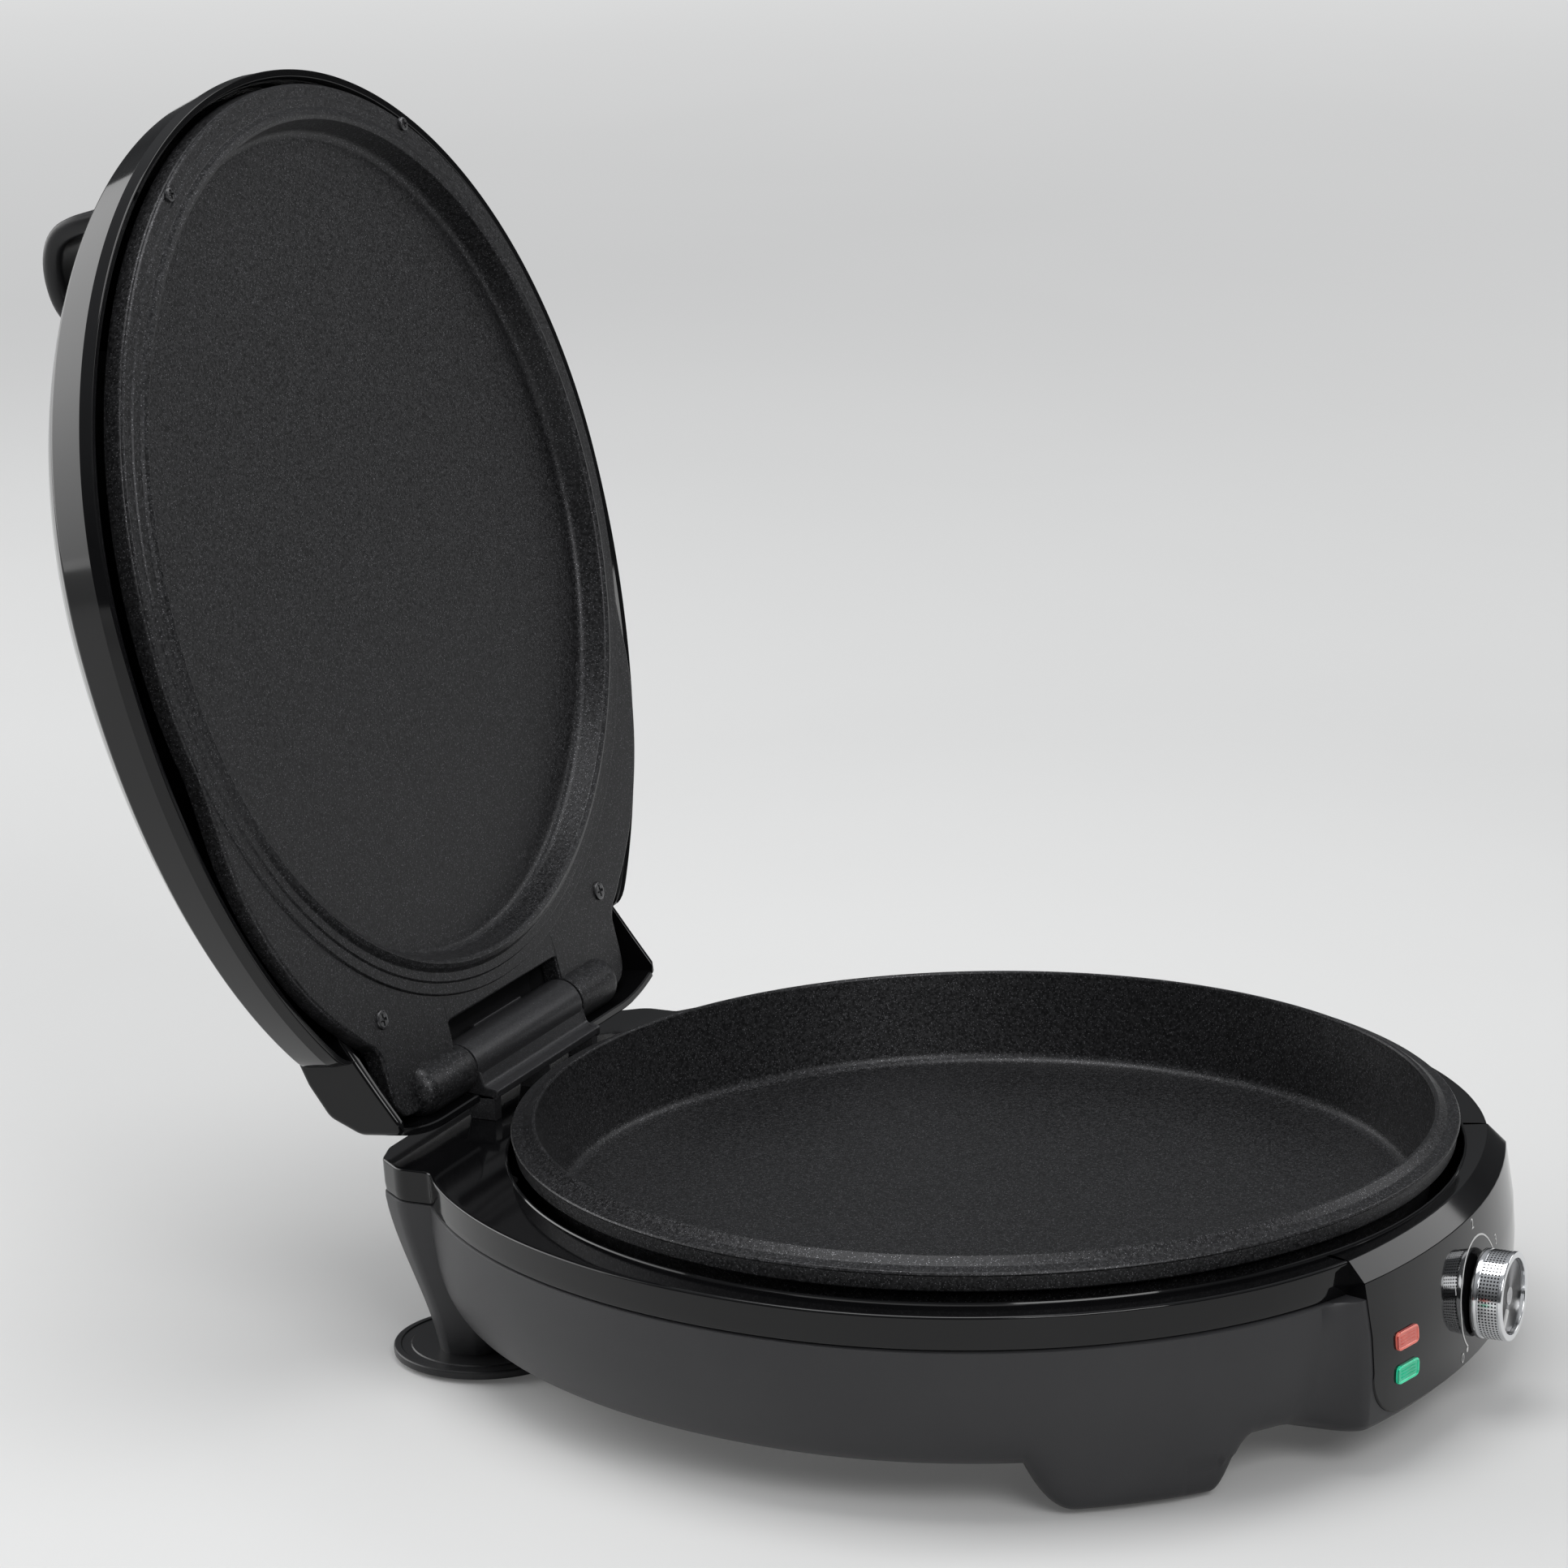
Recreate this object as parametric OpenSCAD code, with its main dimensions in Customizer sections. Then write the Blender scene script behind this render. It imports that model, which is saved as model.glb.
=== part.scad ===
// Countertop pizza maker: a deep round lower pan in a black base with a front
// control fascia, and a domed heated lid on a rear hinge with a loop handle.
// Origin at the middle of the part's underside, front towards -Y, +Z up. The
// pieces are drawn about the pan's axis and moved back by origin_shift.
// The lid is drawn shut and then swung to its rest place, standing open.

/* [Lower pan] */
// Height of the pan's rim above the table
rim_h = 85; // [80:0.5:95]
// Width of the flange outside the pan's inner rim
flange_w = 8.4; // [7:0.1:10]
// Gap between the flange and the opening in the bezel
pan_gap = 1.2; // [0.9:0.1:2]
// How much further in the pan's floor lies than its rim
wall_draft = 6.2; // [5:0.1:9]
// Depth of the pan from rim to floor
pan_depth = 32.4; // [28:0.2:34]
// Thickness of the cast pan
pan_wall = 2.4; // [2:0.1:3]
// Drop from the rim to the flange's outer edge
flange_drop = 3.9; // [3:0.1:5]
// Drop from the rim to the lower edge of the pan's skirt
skirt_drop = 10.4; // [9:0.1:12]
// Distance of the pan's studs from the edge of its floor
post_inset = 16.2; // [14:0.1:18]

/* [Base] */
// Outer radius of the base at its front and sides
base_r = 174; // [172:0.5:178]
// How much further the base's rounded back reaches than its sides, before it is cut flat
base_back_over = 23; // [20:0.5:26]
// How much further the flat back of the base lies from the pan's axis than its sides
back_over = 14; // [12:0.5:17]
// Width of the bezel's rim at the sides
bezel_rim = 12; // [10:0.1:13]
// Drop from the pan's rim to the bezel's top face
bezel_drop = 13; // [12:0.1:15]
// Height of the bezel's outer band
bezel_band = 11.5; // [9:0.1:14]
// Wall of the moulded bezel and housing
shell_wall = 2.5; // [2:0.1:3]
// Height of the housing's underside above the table
housing_lift = 13; // [11:0.5:15]
// Distance of each rear leg block from the base's side
leg_inset = 77; // [74:0.5:80]
// Width of each rear leg block
leg_w = 40; // [34:1:46]
// Distance of each rear leg's foot from the base's flat back
leg_foot_set = 30; // [26:1:34]
// Radius of the round cord-winding disc under each rear leg
disc_r = 32; // [26:1:36]
// Thickness of each cord-winding disc
disc_t = 3; // [2.4:0.1:4]
// Thickness of the rubber foot pads that stand proud
pad_proud = 1.5; // [1:0.1:2.5]
// Radius of each rubber foot pad
pad_r = 8; // [6:0.5:9]
// Thickness of the sheet bottom plate
plate_t = 1.2; // [0.8:0.1:1.6]
// Distance of the bottom plate's edge from the base's side
plate_margin = 46; // [45:0.5:49]
// Radius of the cord's inlet bore
inlet_r = 3.6; // [3:0.1:4.5]

/* [Front fascia] */
// How far the fascia's foremost face stands past the base's radius
fascia_proud = 2; // [1:0.5:6]
// Radius of the fascia's gentle curve in plan
front_curve_r = 246; // [230:2:270]
// Half width of the fascia
fascia_half_w = 75; // [72:0.5:78]
// Height of the fascia's lower edge above the table
fascia_low = 18; // [16:0.5:22]
// Radius of the fascia's lower corners
fascia_corner_r = 16; // [10:1:20]
// Depth of the sloping facet along the fascia's top
facet_depth = 6; // [4:0.5:8]
// Height of the knob's axis above the table
knob_h = 39; // [38:0.5:42]
// Radius of the chrome knob
knob_r = 15.2; // [13:0.1:17]
// Length of the chrome knob
knob_len = 11; // [9:0.5:14]
// Radius of the knob's shaft
shaft_r = 3; // [2.6:0.1:3.5]
// Width of each indicator lens
lens_w = 13; // [11:0.5:16]
// Height of each indicator lens
lens_h = 6.4; // [5.6:0.1:8]
// Distance of the lenses' middle from the fascia's side
lens_set = 18; // [15:0.5:25]
// Height of the upper lens above the table
lens_top_h = 42.5; // [41:0.5:45]
// Distance between the two lenses' middles
lens_pitch = 11.5; // [10.5:0.1:13]

/* [Hinge] */
// How much further the hinge's axis lies from the pan's axis than the base's sides
hinge_over = 6.5; // [5:0.1:8]
// Height of the hinge's axis above the pan's rim
hinge_up = 4.6; // [4:0.1:6]
// Angle to which the lid stands open
open_angle = 103.7; // [95:0.1:106]
// Outer radius of the hinge's barrel and knuckles
barrel_r = 9; // [8:0.1:9.3]
// Radius of the hinge pin
pin_r = 3; // [2.5:0.1:3.6]
// Half length of the middle barrel
barrel_half = 40.5; // [36:0.5:44]
// Length of each outer knuckle
knuckle_len = 26; // [20:1:30]

/* [Lid] */
// Height of the lid plate's land above the pan's rim, when shut
lid_gap = 1.2; // [1:0.1:1.5]
// How much wider the lid plate is than the pan's flange
lid_over = 0.2; // [0:0.1:1]
// How much further the lid plate's rounded back reaches than its front
lid_back_over = 37; // [32:1:41]
// Distance of the bead's crest inside the pan's rim
bead_inset = 3.6; // [3.4:0.1:7]
// Height of the bead's crest over the land
bead_h = 2.4; // [1.5:0.1:3]
// Depth of the lid's recess behind the land
recess_depth = 8.3; // [7:0.1:10]
// Thickness of the cast lid plate
lid_wall = 2.6; // [2.2:0.1:3]
// Depth of the lid plate's skirt
lid_skirt = 6.8; // [6:0.1:6.9]
// Half width of the lid plate's neck at the hinge
neck_half_w = 89; // [85:0.5:91]
// Reach of the lid plate's neck past the hinge's axis
neck_past = 5.5; // [4:0.5:6.5]
// How much wider the lid shell is than the lid plate
shell_over = 7; // [5:0.5:10]
// How much further the lid shell's rounded back reaches than its front
shell_back_over = 33; // [29:1:36]
// Height of the shell's lower rim above the pan's rim, when shut
shell_low = 8.4; // [8:0.1:10]
// Height of the shell's side band
shell_band = 17; // [15:0.5:19]
// Height of the shell's dome over its side band
dome_h = 30; // [26:0.5:34]
// How much wider the hinge hood is than the lid plate's neck, each side
hood_over = 11; // [8:0.5:13]
// Reach of the hood's back past the hinge's axis
hood_past = 12.5; // [12.3:0.1:13.5]

/* [Handle] */
// Half width of the loop handle's strap
handle_half_w = 26; // [22:1:30]
// Thickness of the loop handle's strap
handle_t = 7.5; // [6:0.5:9]
// Distance of the loop's front inside the shell's rim
handle_set = 34; // [30:1:38]
// Length of the loop from its front to its back foot
handle_len = 64; // [58:1:70]
// Height of the loop's top above the pan's rim, when shut
handle_top = 95; // [90:1:100]
// Half width of the saddle under the loop
saddle_half_w = 58; // [50:1:62]
// Height of the saddle's top above the pan's rim, when shut
saddle_top = 62; // [60:0.5:66]

/* [Fits] */
// Radial clearance of a pin or shaft that turns
run_fit = 0.05; // [0.02:0.01:0.08]
// Clearance between pieces that are set into each other
seat_gap = 0.2; // [0.1:0.05:0.3]
// Gap between faces that move past each other
swing_gap = 0.5; // [0.4:0.1:0.8]
// Radius of the assembly screws' shanks
screw_r = 1.9; // [1.6:0.1:2.2]
// Radius of the assembly screws' heads
screw_head_r = 3.4; // [3:0.1:3.8]

/* [Hidden] */
$fn = 96;

// Radii and reaches, from the base's radius inwards and outwards
bezel_hole_r = base_r - bezel_rim;
flange_r = bezel_hole_r - pan_gap;
pan_r = flange_r - flange_w;
floor_r = pan_r - wall_draft;
post_ring_r = floor_r - post_inset;
base_back_r = base_r + base_back_over;
back_y = base_r + back_over;
leg_x = base_r - leg_inset;
leg_foot_y = back_y - leg_foot_set;
plate_r = base_r - plate_margin;
front_y = base_r + fascia_proud;
lens_x = fascia_half_w - lens_set;
hinge_y = base_r + hinge_over;
lid_r = flange_r + lid_over;
lid_back_r = lid_r + lid_back_over;
bead_r = pan_r - bead_inset;
neck_y = hinge_y + neck_past;
shell_r = lid_r + shell_over;
shell_back_r = shell_r + shell_back_over;
hood_half_w = neck_half_w + hood_over;
hood_y = hinge_y + hood_past;
handle_front = shell_r - handle_set;
handle_back = handle_front - handle_len;

// Levels
floor_z = rim_h - pan_depth;
pan_under = floor_z - pan_wall;
flange_z = rim_h - flange_drop;
skirt_z = rim_h - skirt_drop;
bezel_z = rim_h - bezel_drop;
seam_z = bezel_z - bezel_band;
axis_z = rim_h + hinge_up;
land_z = rim_h + lid_gap;
crest_z = land_z - bead_h;
recess_z = land_z + recess_depth;
recess_top = recess_z + lid_wall;
rim_low = rim_h + shell_low;
band_top = rim_low + shell_band;
dome_top = band_top + dome_h;
loop_z = rim_h + handle_top;
saddle_z = rim_h + saddle_top;

// Heating elements and what carries them
element_r = 3.4;
element_ring = post_ring_r - 26;
element_gap = 35;
cold_end = element_gap / 2 + 3;
clamp_t = 1.4;
clamp_w = 12;
clamp_leg = 4;
shield_t = 1;
stud_r = 5;
stud_len = 11;
post_r = 6.5;
shield_z = pan_under - stud_len;
shield_lip = 8;
shield_r = post_ring_r + post_r + 2;
lid_stud_len = 10;
lid_shield_z = recess_top + lid_stud_len;
post_angles = [30, 150, 270];
clamp_angles = [45, 135, 225, 315];
lid_stud_angles = [0, 90, 180, 270];

// Housing
bowl_h = seam_z - housing_lift;
// Bowl profile: inset, and drop as a share of the bowl's height
bowl_inset = [[0, 0], [0.4, 0.21], [2.2, 0.463], [4.8, 0.695], [8.6, 0.874], [13, 0.968], [20, 1]];
boss_side = 4.5;
boss_spread = 5;
boss_side_y = 30 - front_y;
boss_root_y = -(base_r - 56);
lug_inner = plate_r + 10;
lug_outer = base_r - 15;
lug_angles = [-147, -133];
lug_top_angles = [-151, -121];
foot_z = pad_proud + disc_t;
leg_foot_x = leg_x - 18;
leg_foot_r = 11;
leg_corner_r = 9;
disc_x = leg_foot_x - 7;
pad_sink = 2;
lip_r = plate_r - 10;
plate_screw_ring = plate_r - 5;
inlet_h = 30;
inlet_body_r = 8;
inlet_flange_r = 11;
inlet_flange_t = 2.4;

// Fascia profile about the front curve's axis: radius and height
curve_y = front_curve_r - front_y;
facet_z = bezel_z - facet_depth;
fascia_line = [[front_curve_r - 9, bezel_z], [front_curve_r - 3, facet_z],
    [front_curve_r - 0.6, 48], [front_curve_r, 36], [front_curve_r - 1.2, fascia_low - 6]];
lens_a = asin(lens_x / front_curve_r);
seat_disc_r = knob_r + 2;
knob_back = front_y + 0.3;
knob_front = knob_back + knob_len;
dish_depth = 1.6;
dish_r = knob_r - 2.4;
face_t = 0.8;
thermostat_w = 24;
thermostat_h = 22;
thermostat_d = 16;
bracket_t = 1.5;
bracket_y = front_y - 10;
bracket_w = 44;
bracket_h = 30;
bracket_post_x = 17;
bracket_post_r = 3.5;
shaft_in = 7;
loop_round = 22;
rest_back = hinge_y - (handle_front - loop_round + hinge_y) * cos(open_angle)
    + (loop_z - loop_round - axis_z) * sin(open_angle) + loop_round;
origin_shift = [0, (knob_front - rest_back) / 2, 0];

// Hood outline, as distance from the pan's axis and height
hood_line = [[hood_y - 93, rim_low], [hood_y - 39, rim_low], [hood_y - 5, axis_z - 8.6], [hood_y, axis_z - 6],
    [hood_y - 2, rim_low + 4], [hood_y - 10, band_top - 3], [hood_y - 24, band_top + 2],
    [hood_y - 50, band_top + 7], [hood_y - 93, band_top + 12]];
hood_hollow = [[hood_y - 97, rim_low - 9], [hood_y - 43, rim_low - 9], [hood_y - 8, axis_z - 12],
    [hood_y - shell_wall + 0.3, axis_z - 12], [hood_y - shell_wall, axis_z - 2],
    [hood_y - 4.2, rim_low + 3], [hood_y - 11.5, band_top - 5],
    [hood_y - 25, band_top - 0.6], [hood_y - 51, band_top + 4.3], [hood_y - 97, band_top + 9.4]];
dome_inset = [[2, 0], [0, 4.5], [3, shell_band], [10, shell_band + 7], [19, shell_band + 12],
    [50, shell_band + 20], [95, shell_band + 27], [140, shell_band + dome_h]];
rim_screw_r = lid_r - 2.8;
rim_screw_a = 58.8;
rim_head_r = 2.5;
neck_screw = [neck_half_w - 5.7, neck_y - 35.4];
shell_post_r = 4.4;
dome_cut = hinge_y - 20.5;
rim_screw_len = 14;
neck_screw_len = 15;
leaf_gap = 4.4;
rib_t = 5;
knuckle_in = barrel_half + swing_gap;
knuckle_end = knuckle_in + knuckle_len;
dome_len = 6.8;
pin_end = knuckle_end - 4;
handle_foot_y = [-(handle_front - handle_t / 2), -(handle_back + 9)];
dome_rise = [for (i = [2 : len(dome_inset) - 1]) dome_inset[i]];
saddle_r = 24;
handle_boss_r = 6;
handle_boss_drop = 8;

// Height of the dome's outside at radius r on its front half
function dome_z(r) = rim_low + lookup(shell_r - r, dome_rise);

// Oval with a round front and a deeper rounded back
module egg(side, back) {
    points = [for (i = [0 : 71]) let(a = i * 5)
        [side * cos(a), (sin(a) > 0 ? back : side) * sin(a)]];
    polygon(points);
}

// Places a lid piece, drawn shut, at the lid's rest angle
module lid_pose() {
    translate([0, hinge_y, axis_z])
        rotate([-open_angle, 0, 0])
            translate([0, -hinge_y, -axis_z])
                children();
}

// Cylinder along X from x0 to x1
module bar_x(r, x0, x1, y, z) {
    translate([x0, y, z])
        rotate([0, 90, 0])
            cylinder(r = r, h = x1 - x0);
}

// Cylinder that starts at y and runs towards the front for len
module bar_front(r, x, y, z, len) {
    translate([x, y, z])
        rotate([90, 0, 0])
            cylinder(r = r, h = len);
}

// Extrudes a side outline, given as [y, z] points, over x0 to x1
module side_prism(points, x0, x1) {
    translate([x0, 0, 0])
        rotate([90, 0, 90])
            linear_extrude(x1 - x0)
                polygon(points);
}

// Box centred on x and y that rises from z
module post_box(w, d, h, x, y, z) {
    translate([x - w / 2, y - d / 2, z])
        cube([w, d, h]);
}

// Turns a piece to an angle on the front curve, at rho from its axis
module front_at(a, rho, z) {
    translate([0, curve_y, z])
        rotate([0, 0, a])
            translate([0, -rho, 0])
                children();
}

module mirrored() {
    children();
    mirror([1, 0, 0])
        children();
}

// Base outline in plan, drawn in by inset on every side
module base_plan(inset) {
    intersection() {
        egg(base_r - inset, base_back_r - inset);
        translate([-300, -300])
            square([600, 300 + back_y - inset]);
    }
}

// Rear leg block in plan, on the left side
module leg_plan(inset) {
    r = leg_corner_r - inset;
    hull() {
        translate([-leg_x + leg_corner_r, back_y - leg_corner_r - 4])
            circle(r = r, $fn = 32);
        translate([-leg_x + leg_corner_r + 8, back_y - leg_corner_r])
            circle(r = r, $fn = 32);
        translate([-leg_x + leg_w, back_y - leg_corner_r])
            circle(r = r, $fn = 32);
        translate([-leg_x + leg_corner_r + 6, back_y - 44])
            circle(r = r, $fn = 32);
        translate([-leg_x + leg_w, back_y - 44])
            circle(r = r, $fn = 32);
    }
}

// Solid bowl of the base, drawn in by inset
module bowl_solid(inset) {
    hull()
        for (p = bowl_inset)
            translate([0, 0, seam_z - 0.01 * (1 - p[1]) - bowl_h * p[1] + (p[1] > 0.85 ? inset : 0)])
                linear_extrude(0.01)
                    base_plan(p[0] + inset);
}

// Solid turned about the front curve's axis, drawn in by inset
module front_solid(inset) {
    line = [for (p = fascia_line) [p[0] - inset, p[1]]];
    translate([0, curve_y, 0])
        rotate_extrude($fn = 180)
            polygon(concat([[0, bezel_z]], line, [[0, fascia_low - 6]]));
}

// Upright U outline of the fascia, grown by grow, as a prism towards the front
module fascia_prism(grow) {
    w = fascia_half_w + grow;
    r = fascia_corner_r + grow;
    low = fascia_low - grow;
    translate([0, 54 - base_r, 0])
        rotate([90, 0, 0])
            linear_extrude(90)
                union() {
                    translate([-w, low + r])
                        square([2 * w, bezel_z - low - r]);
                    translate([-w + r, low])
                        square([2 * (w - r), r + 1]);
                    for (s = [-1, 1])
                        translate([s * (w - r), low + r])
                            circle(r = r);
                }
}

// Plan of the front boss that carries the fascia
module boss_prism(inset, low, high) {
    w = fascia_half_w + boss_side - inset;
    translate([0, 0, low])
        linear_extrude(high - low)
            polygon([[-w - boss_spread, boss_root_y], [-w, boss_side_y + inset], [-w + 1, -front_y - 24],
                [w - 1, -front_y - 24], [w, boss_side_y + inset], [w + boss_spread, boss_root_y]]);
}

module lower_pan() {
    color("#35363a")
        translate(origin_shift) {
        difference() {
            union() {
                rotate_extrude($fn = 180)
                    polygon([[0, floor_z], [floor_r - 2, floor_z], [floor_r, floor_z + 2],
                        [pan_r - 0.6, rim_h - 1.2], [pan_r, rim_h], [pan_r + 1.6, rim_h],
                        [pan_r + 2.2, rim_h - 1], [flange_r - 3.4, flange_z + 1.2],
                        [flange_r - 2.8, flange_z], [flange_r, flange_z],
                        [flange_r - 1, skirt_z], [flange_r - 3, skirt_z],
                        [flange_r - 3.4, flange_z - pan_wall], [pan_r + pan_wall, flange_z - pan_wall],
                        [floor_r + pan_wall, floor_z], [floor_r - 1, pan_under], [0, pan_under]]);
                for (a = post_angles)
                    rotate([0, 0, a])
                        translate([post_ring_r, 0, shield_z + shield_t])
                            cylinder(r = stud_r, h = stud_len - shield_t + 0.5);
            }
            for (a = post_angles)
                rotate([0, 0, a])
                    translate([post_ring_r, 0, shield_z])
                        cylinder(r = screw_r + run_fit, h = stud_len - 1);
        }
    }
}

// Middle barrel of the hinge with its leaf, on ribs that stand on the bezel
module hinge_bracket() {
    front = flange_r + leaf_gap;
    color("#35363a")
        translate(origin_shift)
            difference() {
                union() {
                    bar_x(barrel_r, -barrel_half, barrel_half, hinge_y, axis_z);
                    side_prism([[front, flange_z - 1], [front, flange_z + 1.4], [front + 4, flange_z + 2.6],
                        [hinge_y - 9, axis_z], [hinge_y - 7, axis_z + 5], [hinge_y, axis_z],
                        [hinge_y - 2, axis_z - 8.5], [front + 5, flange_z - 1]],
                        -barrel_half, barrel_half);
                    for (x = [-barrel_half, -rib_t / 2, barrel_half - rib_t])
                        side_prism([[front + 0.6, bezel_z], [front + 0.6, flange_z],
                            [hinge_y - 4, flange_z + 1], [hinge_y - 6, bezel_z]], x, x + rib_t);
                }
                bar_x(pin_r + run_fit, -barrel_half - 1, barrel_half + 1, hinge_y, axis_z);
            }
}

// Ring element with its two cold ends turned away from the plate
module ring_element(z, away) {
    rotate([0, 0, 90 + element_gap / 2])
        rotate_extrude(angle = 360 - element_gap)
            translate([element_ring, z])
                circle(r = element_r, $fn = 32);
    for (s = [-1, 1])
        rotate([0, 0, 90 + s * cold_end])
            translate([element_ring, 0, min(z, z + away)])
                cylinder(r = element_r - 0.8, h = abs(away));
}

// Four saddle straps over the ring element; up is the side away from the plate
module element_straps(plate_z, up) {
    height = 2 * element_r + 0.3;
    half = element_r + 0.4;
    for (a = clamp_angles)
        rotate([0, 0, a]) {
            translate([element_ring - half - clamp_leg, -clamp_w / 2,
                up > 0 ? plate_z + height : plate_z - height - clamp_t])
                cube([2 * (half + clamp_leg), clamp_w, clamp_t]);
            for (x = [element_ring - half - clamp_leg, element_ring + half])
                translate([x, -clamp_w / 2, up > 0 ? plate_z : plate_z - height])
                    cube([clamp_leg, clamp_w, height]);
        }
}

module lower_element() {
    color("#8d8f92")
        translate(origin_shift)
        ring_element(pan_under - element_r - 0.1, -9);
}

module lower_element_clamps() {
    color("#b5b7ba")
        translate(origin_shift)
        element_straps(pan_under, -1);
}

module lower_heat_shield() {
    color("#c4c6c8")
        translate(origin_shift)
        difference() {
            rotate_extrude()
                polygon([[0, shield_z], [shield_r, shield_z], [shield_r + 3, shield_z + shield_lip],
                    [shield_r + 2, shield_z + shield_lip], [shield_r - 0.6, shield_z + shield_t],
                    [0, shield_z + shield_t]]);
            for (a = post_angles)
                rotate([0, 0, a])
                    translate([post_ring_r, 0, shield_z - 1])
                        cylinder(r = screw_r + run_fit, h = shield_t + 2);
            for (s = [-1, 1])
                rotate([0, 0, 90 + s * cold_end])
                    translate([element_ring, 0, shield_z - 1])
                        cylinder(r = element_r + 1.5, h = shield_t + 2);
        }
}

module pan_screws() {
    color("#a9abad")
        translate(origin_shift)
        for (a = post_angles)
            rotate([0, 0, a])
                translate([post_ring_r, 0, 0]) {
                    translate([0, 0, housing_lift + 4])
                        cylinder(r = screw_head_r, h = 2);
                    translate([0, 0, housing_lift + 6])
                        cylinder(r = screw_r, h = shield_z + stud_len - 3 - housing_lift - 6);
                }
}

// One front lug as seen from below, on the left
module front_lug(inset) {
    hull() {
        for (a = lug_angles, r = [lug_inner + 8, lug_outer - 5])
            rotate([0, 0, a])
                translate([r, 0, pad_proud])
                    cylinder(r = 5 - inset, h = 1, $fn = 24);
        for (a = lug_top_angles, r = [lug_inner, lug_outer - 4])
            rotate([0, 0, a])
                translate([r, 0, housing_lift + 5])
                    cylinder(r = 3 - inset, h = 1, $fn = 24);
    }
}

module rear_leg() {
    hull() {
        translate([0, 0, seam_z - 8])
            linear_extrude(8)
                leg_plan(0);
        translate([-leg_foot_x, leg_foot_y, foot_z])
            cylinder(r = leg_foot_r, h = 6, $fn = 32);
    }
}

module base_housing() {
    color("#3a3b3e")
        translate(origin_shift)
        difference() {
            union() {
                difference() {
                    union() {
                        bowl_solid(0);
                        intersection() {
                            front_solid(0);
                            boss_prism(0, housing_lift, seam_z);
                        }
                        mirrored()
                            rear_leg();
                        mirrored()
                            front_lug(0);
                    }
                    bowl_solid(shell_wall);
                    intersection() {
                        front_solid(shell_wall);
                        boss_prism(shell_wall, housing_lift + shell_wall, seam_z + 1);
                    }
                    fascia_prism(seat_gap);
                    translate([0, 0, housing_lift - 1])
                        cylinder(r = lip_r, h = seam_z);
                }
                for (a = post_angles)
                    rotate([0, 0, a])
                        translate([post_ring_r, 0, housing_lift])
                            cylinder(r = post_r, h = shield_z - housing_lift);
                bar_front(inlet_flange_r + 1, 0, back_y - 0.6, inlet_h, 9);
            }
            for (a = post_angles)
                rotate([0, 0, a])
                    translate([post_ring_r, 0, housing_lift - 1]) {
                        cylinder(r = screw_r + run_fit, h = seam_z);
                        cylinder(r = screw_head_r + seat_gap, h = 7);
                    }
            for (a = [for (p = post_angles) p + 30])
                rotate([0, 0, a])
                    translate([plate_screw_ring, 0, housing_lift - 1])
                        cylinder(r = screw_r + run_fit, h = 9);
            for (s = [-1, 1]) {
                translate([s * leg_foot_x, leg_foot_y, foot_z - 1])
                    cylinder(r = screw_r + run_fit, h = 13);
                rotate([0, 0, -90 + s * 50])
                    translate([(lug_inner + lug_outer) / 2, 0, pad_proud - 1])
                        cylinder(r = pad_r + seat_gap, h = 1 + pad_sink);
            }
            bar_front(inlet_body_r + seat_gap, 0, back_y + 5, inlet_h, 30);
        }
}

module base_bezel() {
    color("#141517")
        translate(origin_shift)
        difference() {
            union() {
                difference() {
                    intersection() {
                        translate([0, 0, seam_z])
                            linear_extrude(bezel_band)
                                union() {
                                    base_plan(0);
                                    mirrored()
                                        leg_plan(0);
                                }
                        front_solid(0);
                    }
                    intersection() {
                        translate([0, 0, seam_z - 1])
                            linear_extrude(bezel_band + 1 - shell_wall)
                                base_plan(shell_wall);
                        front_solid(shell_wall);
                    }
                    translate([0, 0, seam_z - 1])
                        cylinder(r = bezel_hole_r, h = bezel_band + 2, $fn = 180);
                }
                difference() {
                    translate([0, 0, bezel_z - 5])
                        cylinder(r = bezel_hole_r + 2, h = 5.6, $fn = 180);
                    translate([0, 0, bezel_z - 6])
                        cylinder(r = bezel_hole_r, h = 8, $fn = 180);
                }
                difference() {
                    intersection() {
                        front_solid(0);
                        fascia_prism(0);
                    }
                    front_solid(shell_wall);
                }
                bar_front(seat_disc_r, 0, -front_y + shell_wall + 1, knob_h, shell_wall + 1);
                for (s = [-1, 1])
                    bar_front(bracket_post_r, s * bracket_post_x, -bracket_y, knob_h,
                        front_y - shell_wall / 2 - bracket_y - 0.8);
            }
            bar_front(shaft_r + 1, 0, -front_y + 12, knob_h, 20);
            for (h = [lens_top_h, lens_top_h - lens_pitch])
                front_at(-lens_a, front_curve_r, h)
                    translate([-lens_w / 2 - seat_gap, -8, -lens_h / 2 - seat_gap])
                        cube([lens_w + 2 * seat_gap, 16, lens_h + 2 * seat_gap]);
        }
}

module bottom_plate() {
    color("#6f7174")
        translate(origin_shift)
        difference() {
            translate([0, 0, housing_lift - plate_t])
                cylinder(r = plate_r, h = plate_t);
            for (a = [for (p = post_angles) p + 30])
                rotate([0, 0, a])
                    translate([plate_screw_ring, 0, 0])
                        cylinder(r = screw_r + run_fit, h = housing_lift + 1);
            for (x = [-60 : 20 : 60])
                post_box(5, 60, housing_lift + 1, x, -20, 0);
        }
}

module bottom_screws() {
    color("#a9abad")
        translate(origin_shift)
        for (a = [for (p = post_angles) p + 30])
            rotate([0, 0, a])
                translate([plate_screw_ring, 0, housing_lift - plate_t]) {
                    translate([0, 0, -1.8])
                        cylinder(r = screw_head_r, h = 1.8);
                    cylinder(r = screw_r, h = plate_t + 7);
                }
}

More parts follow.
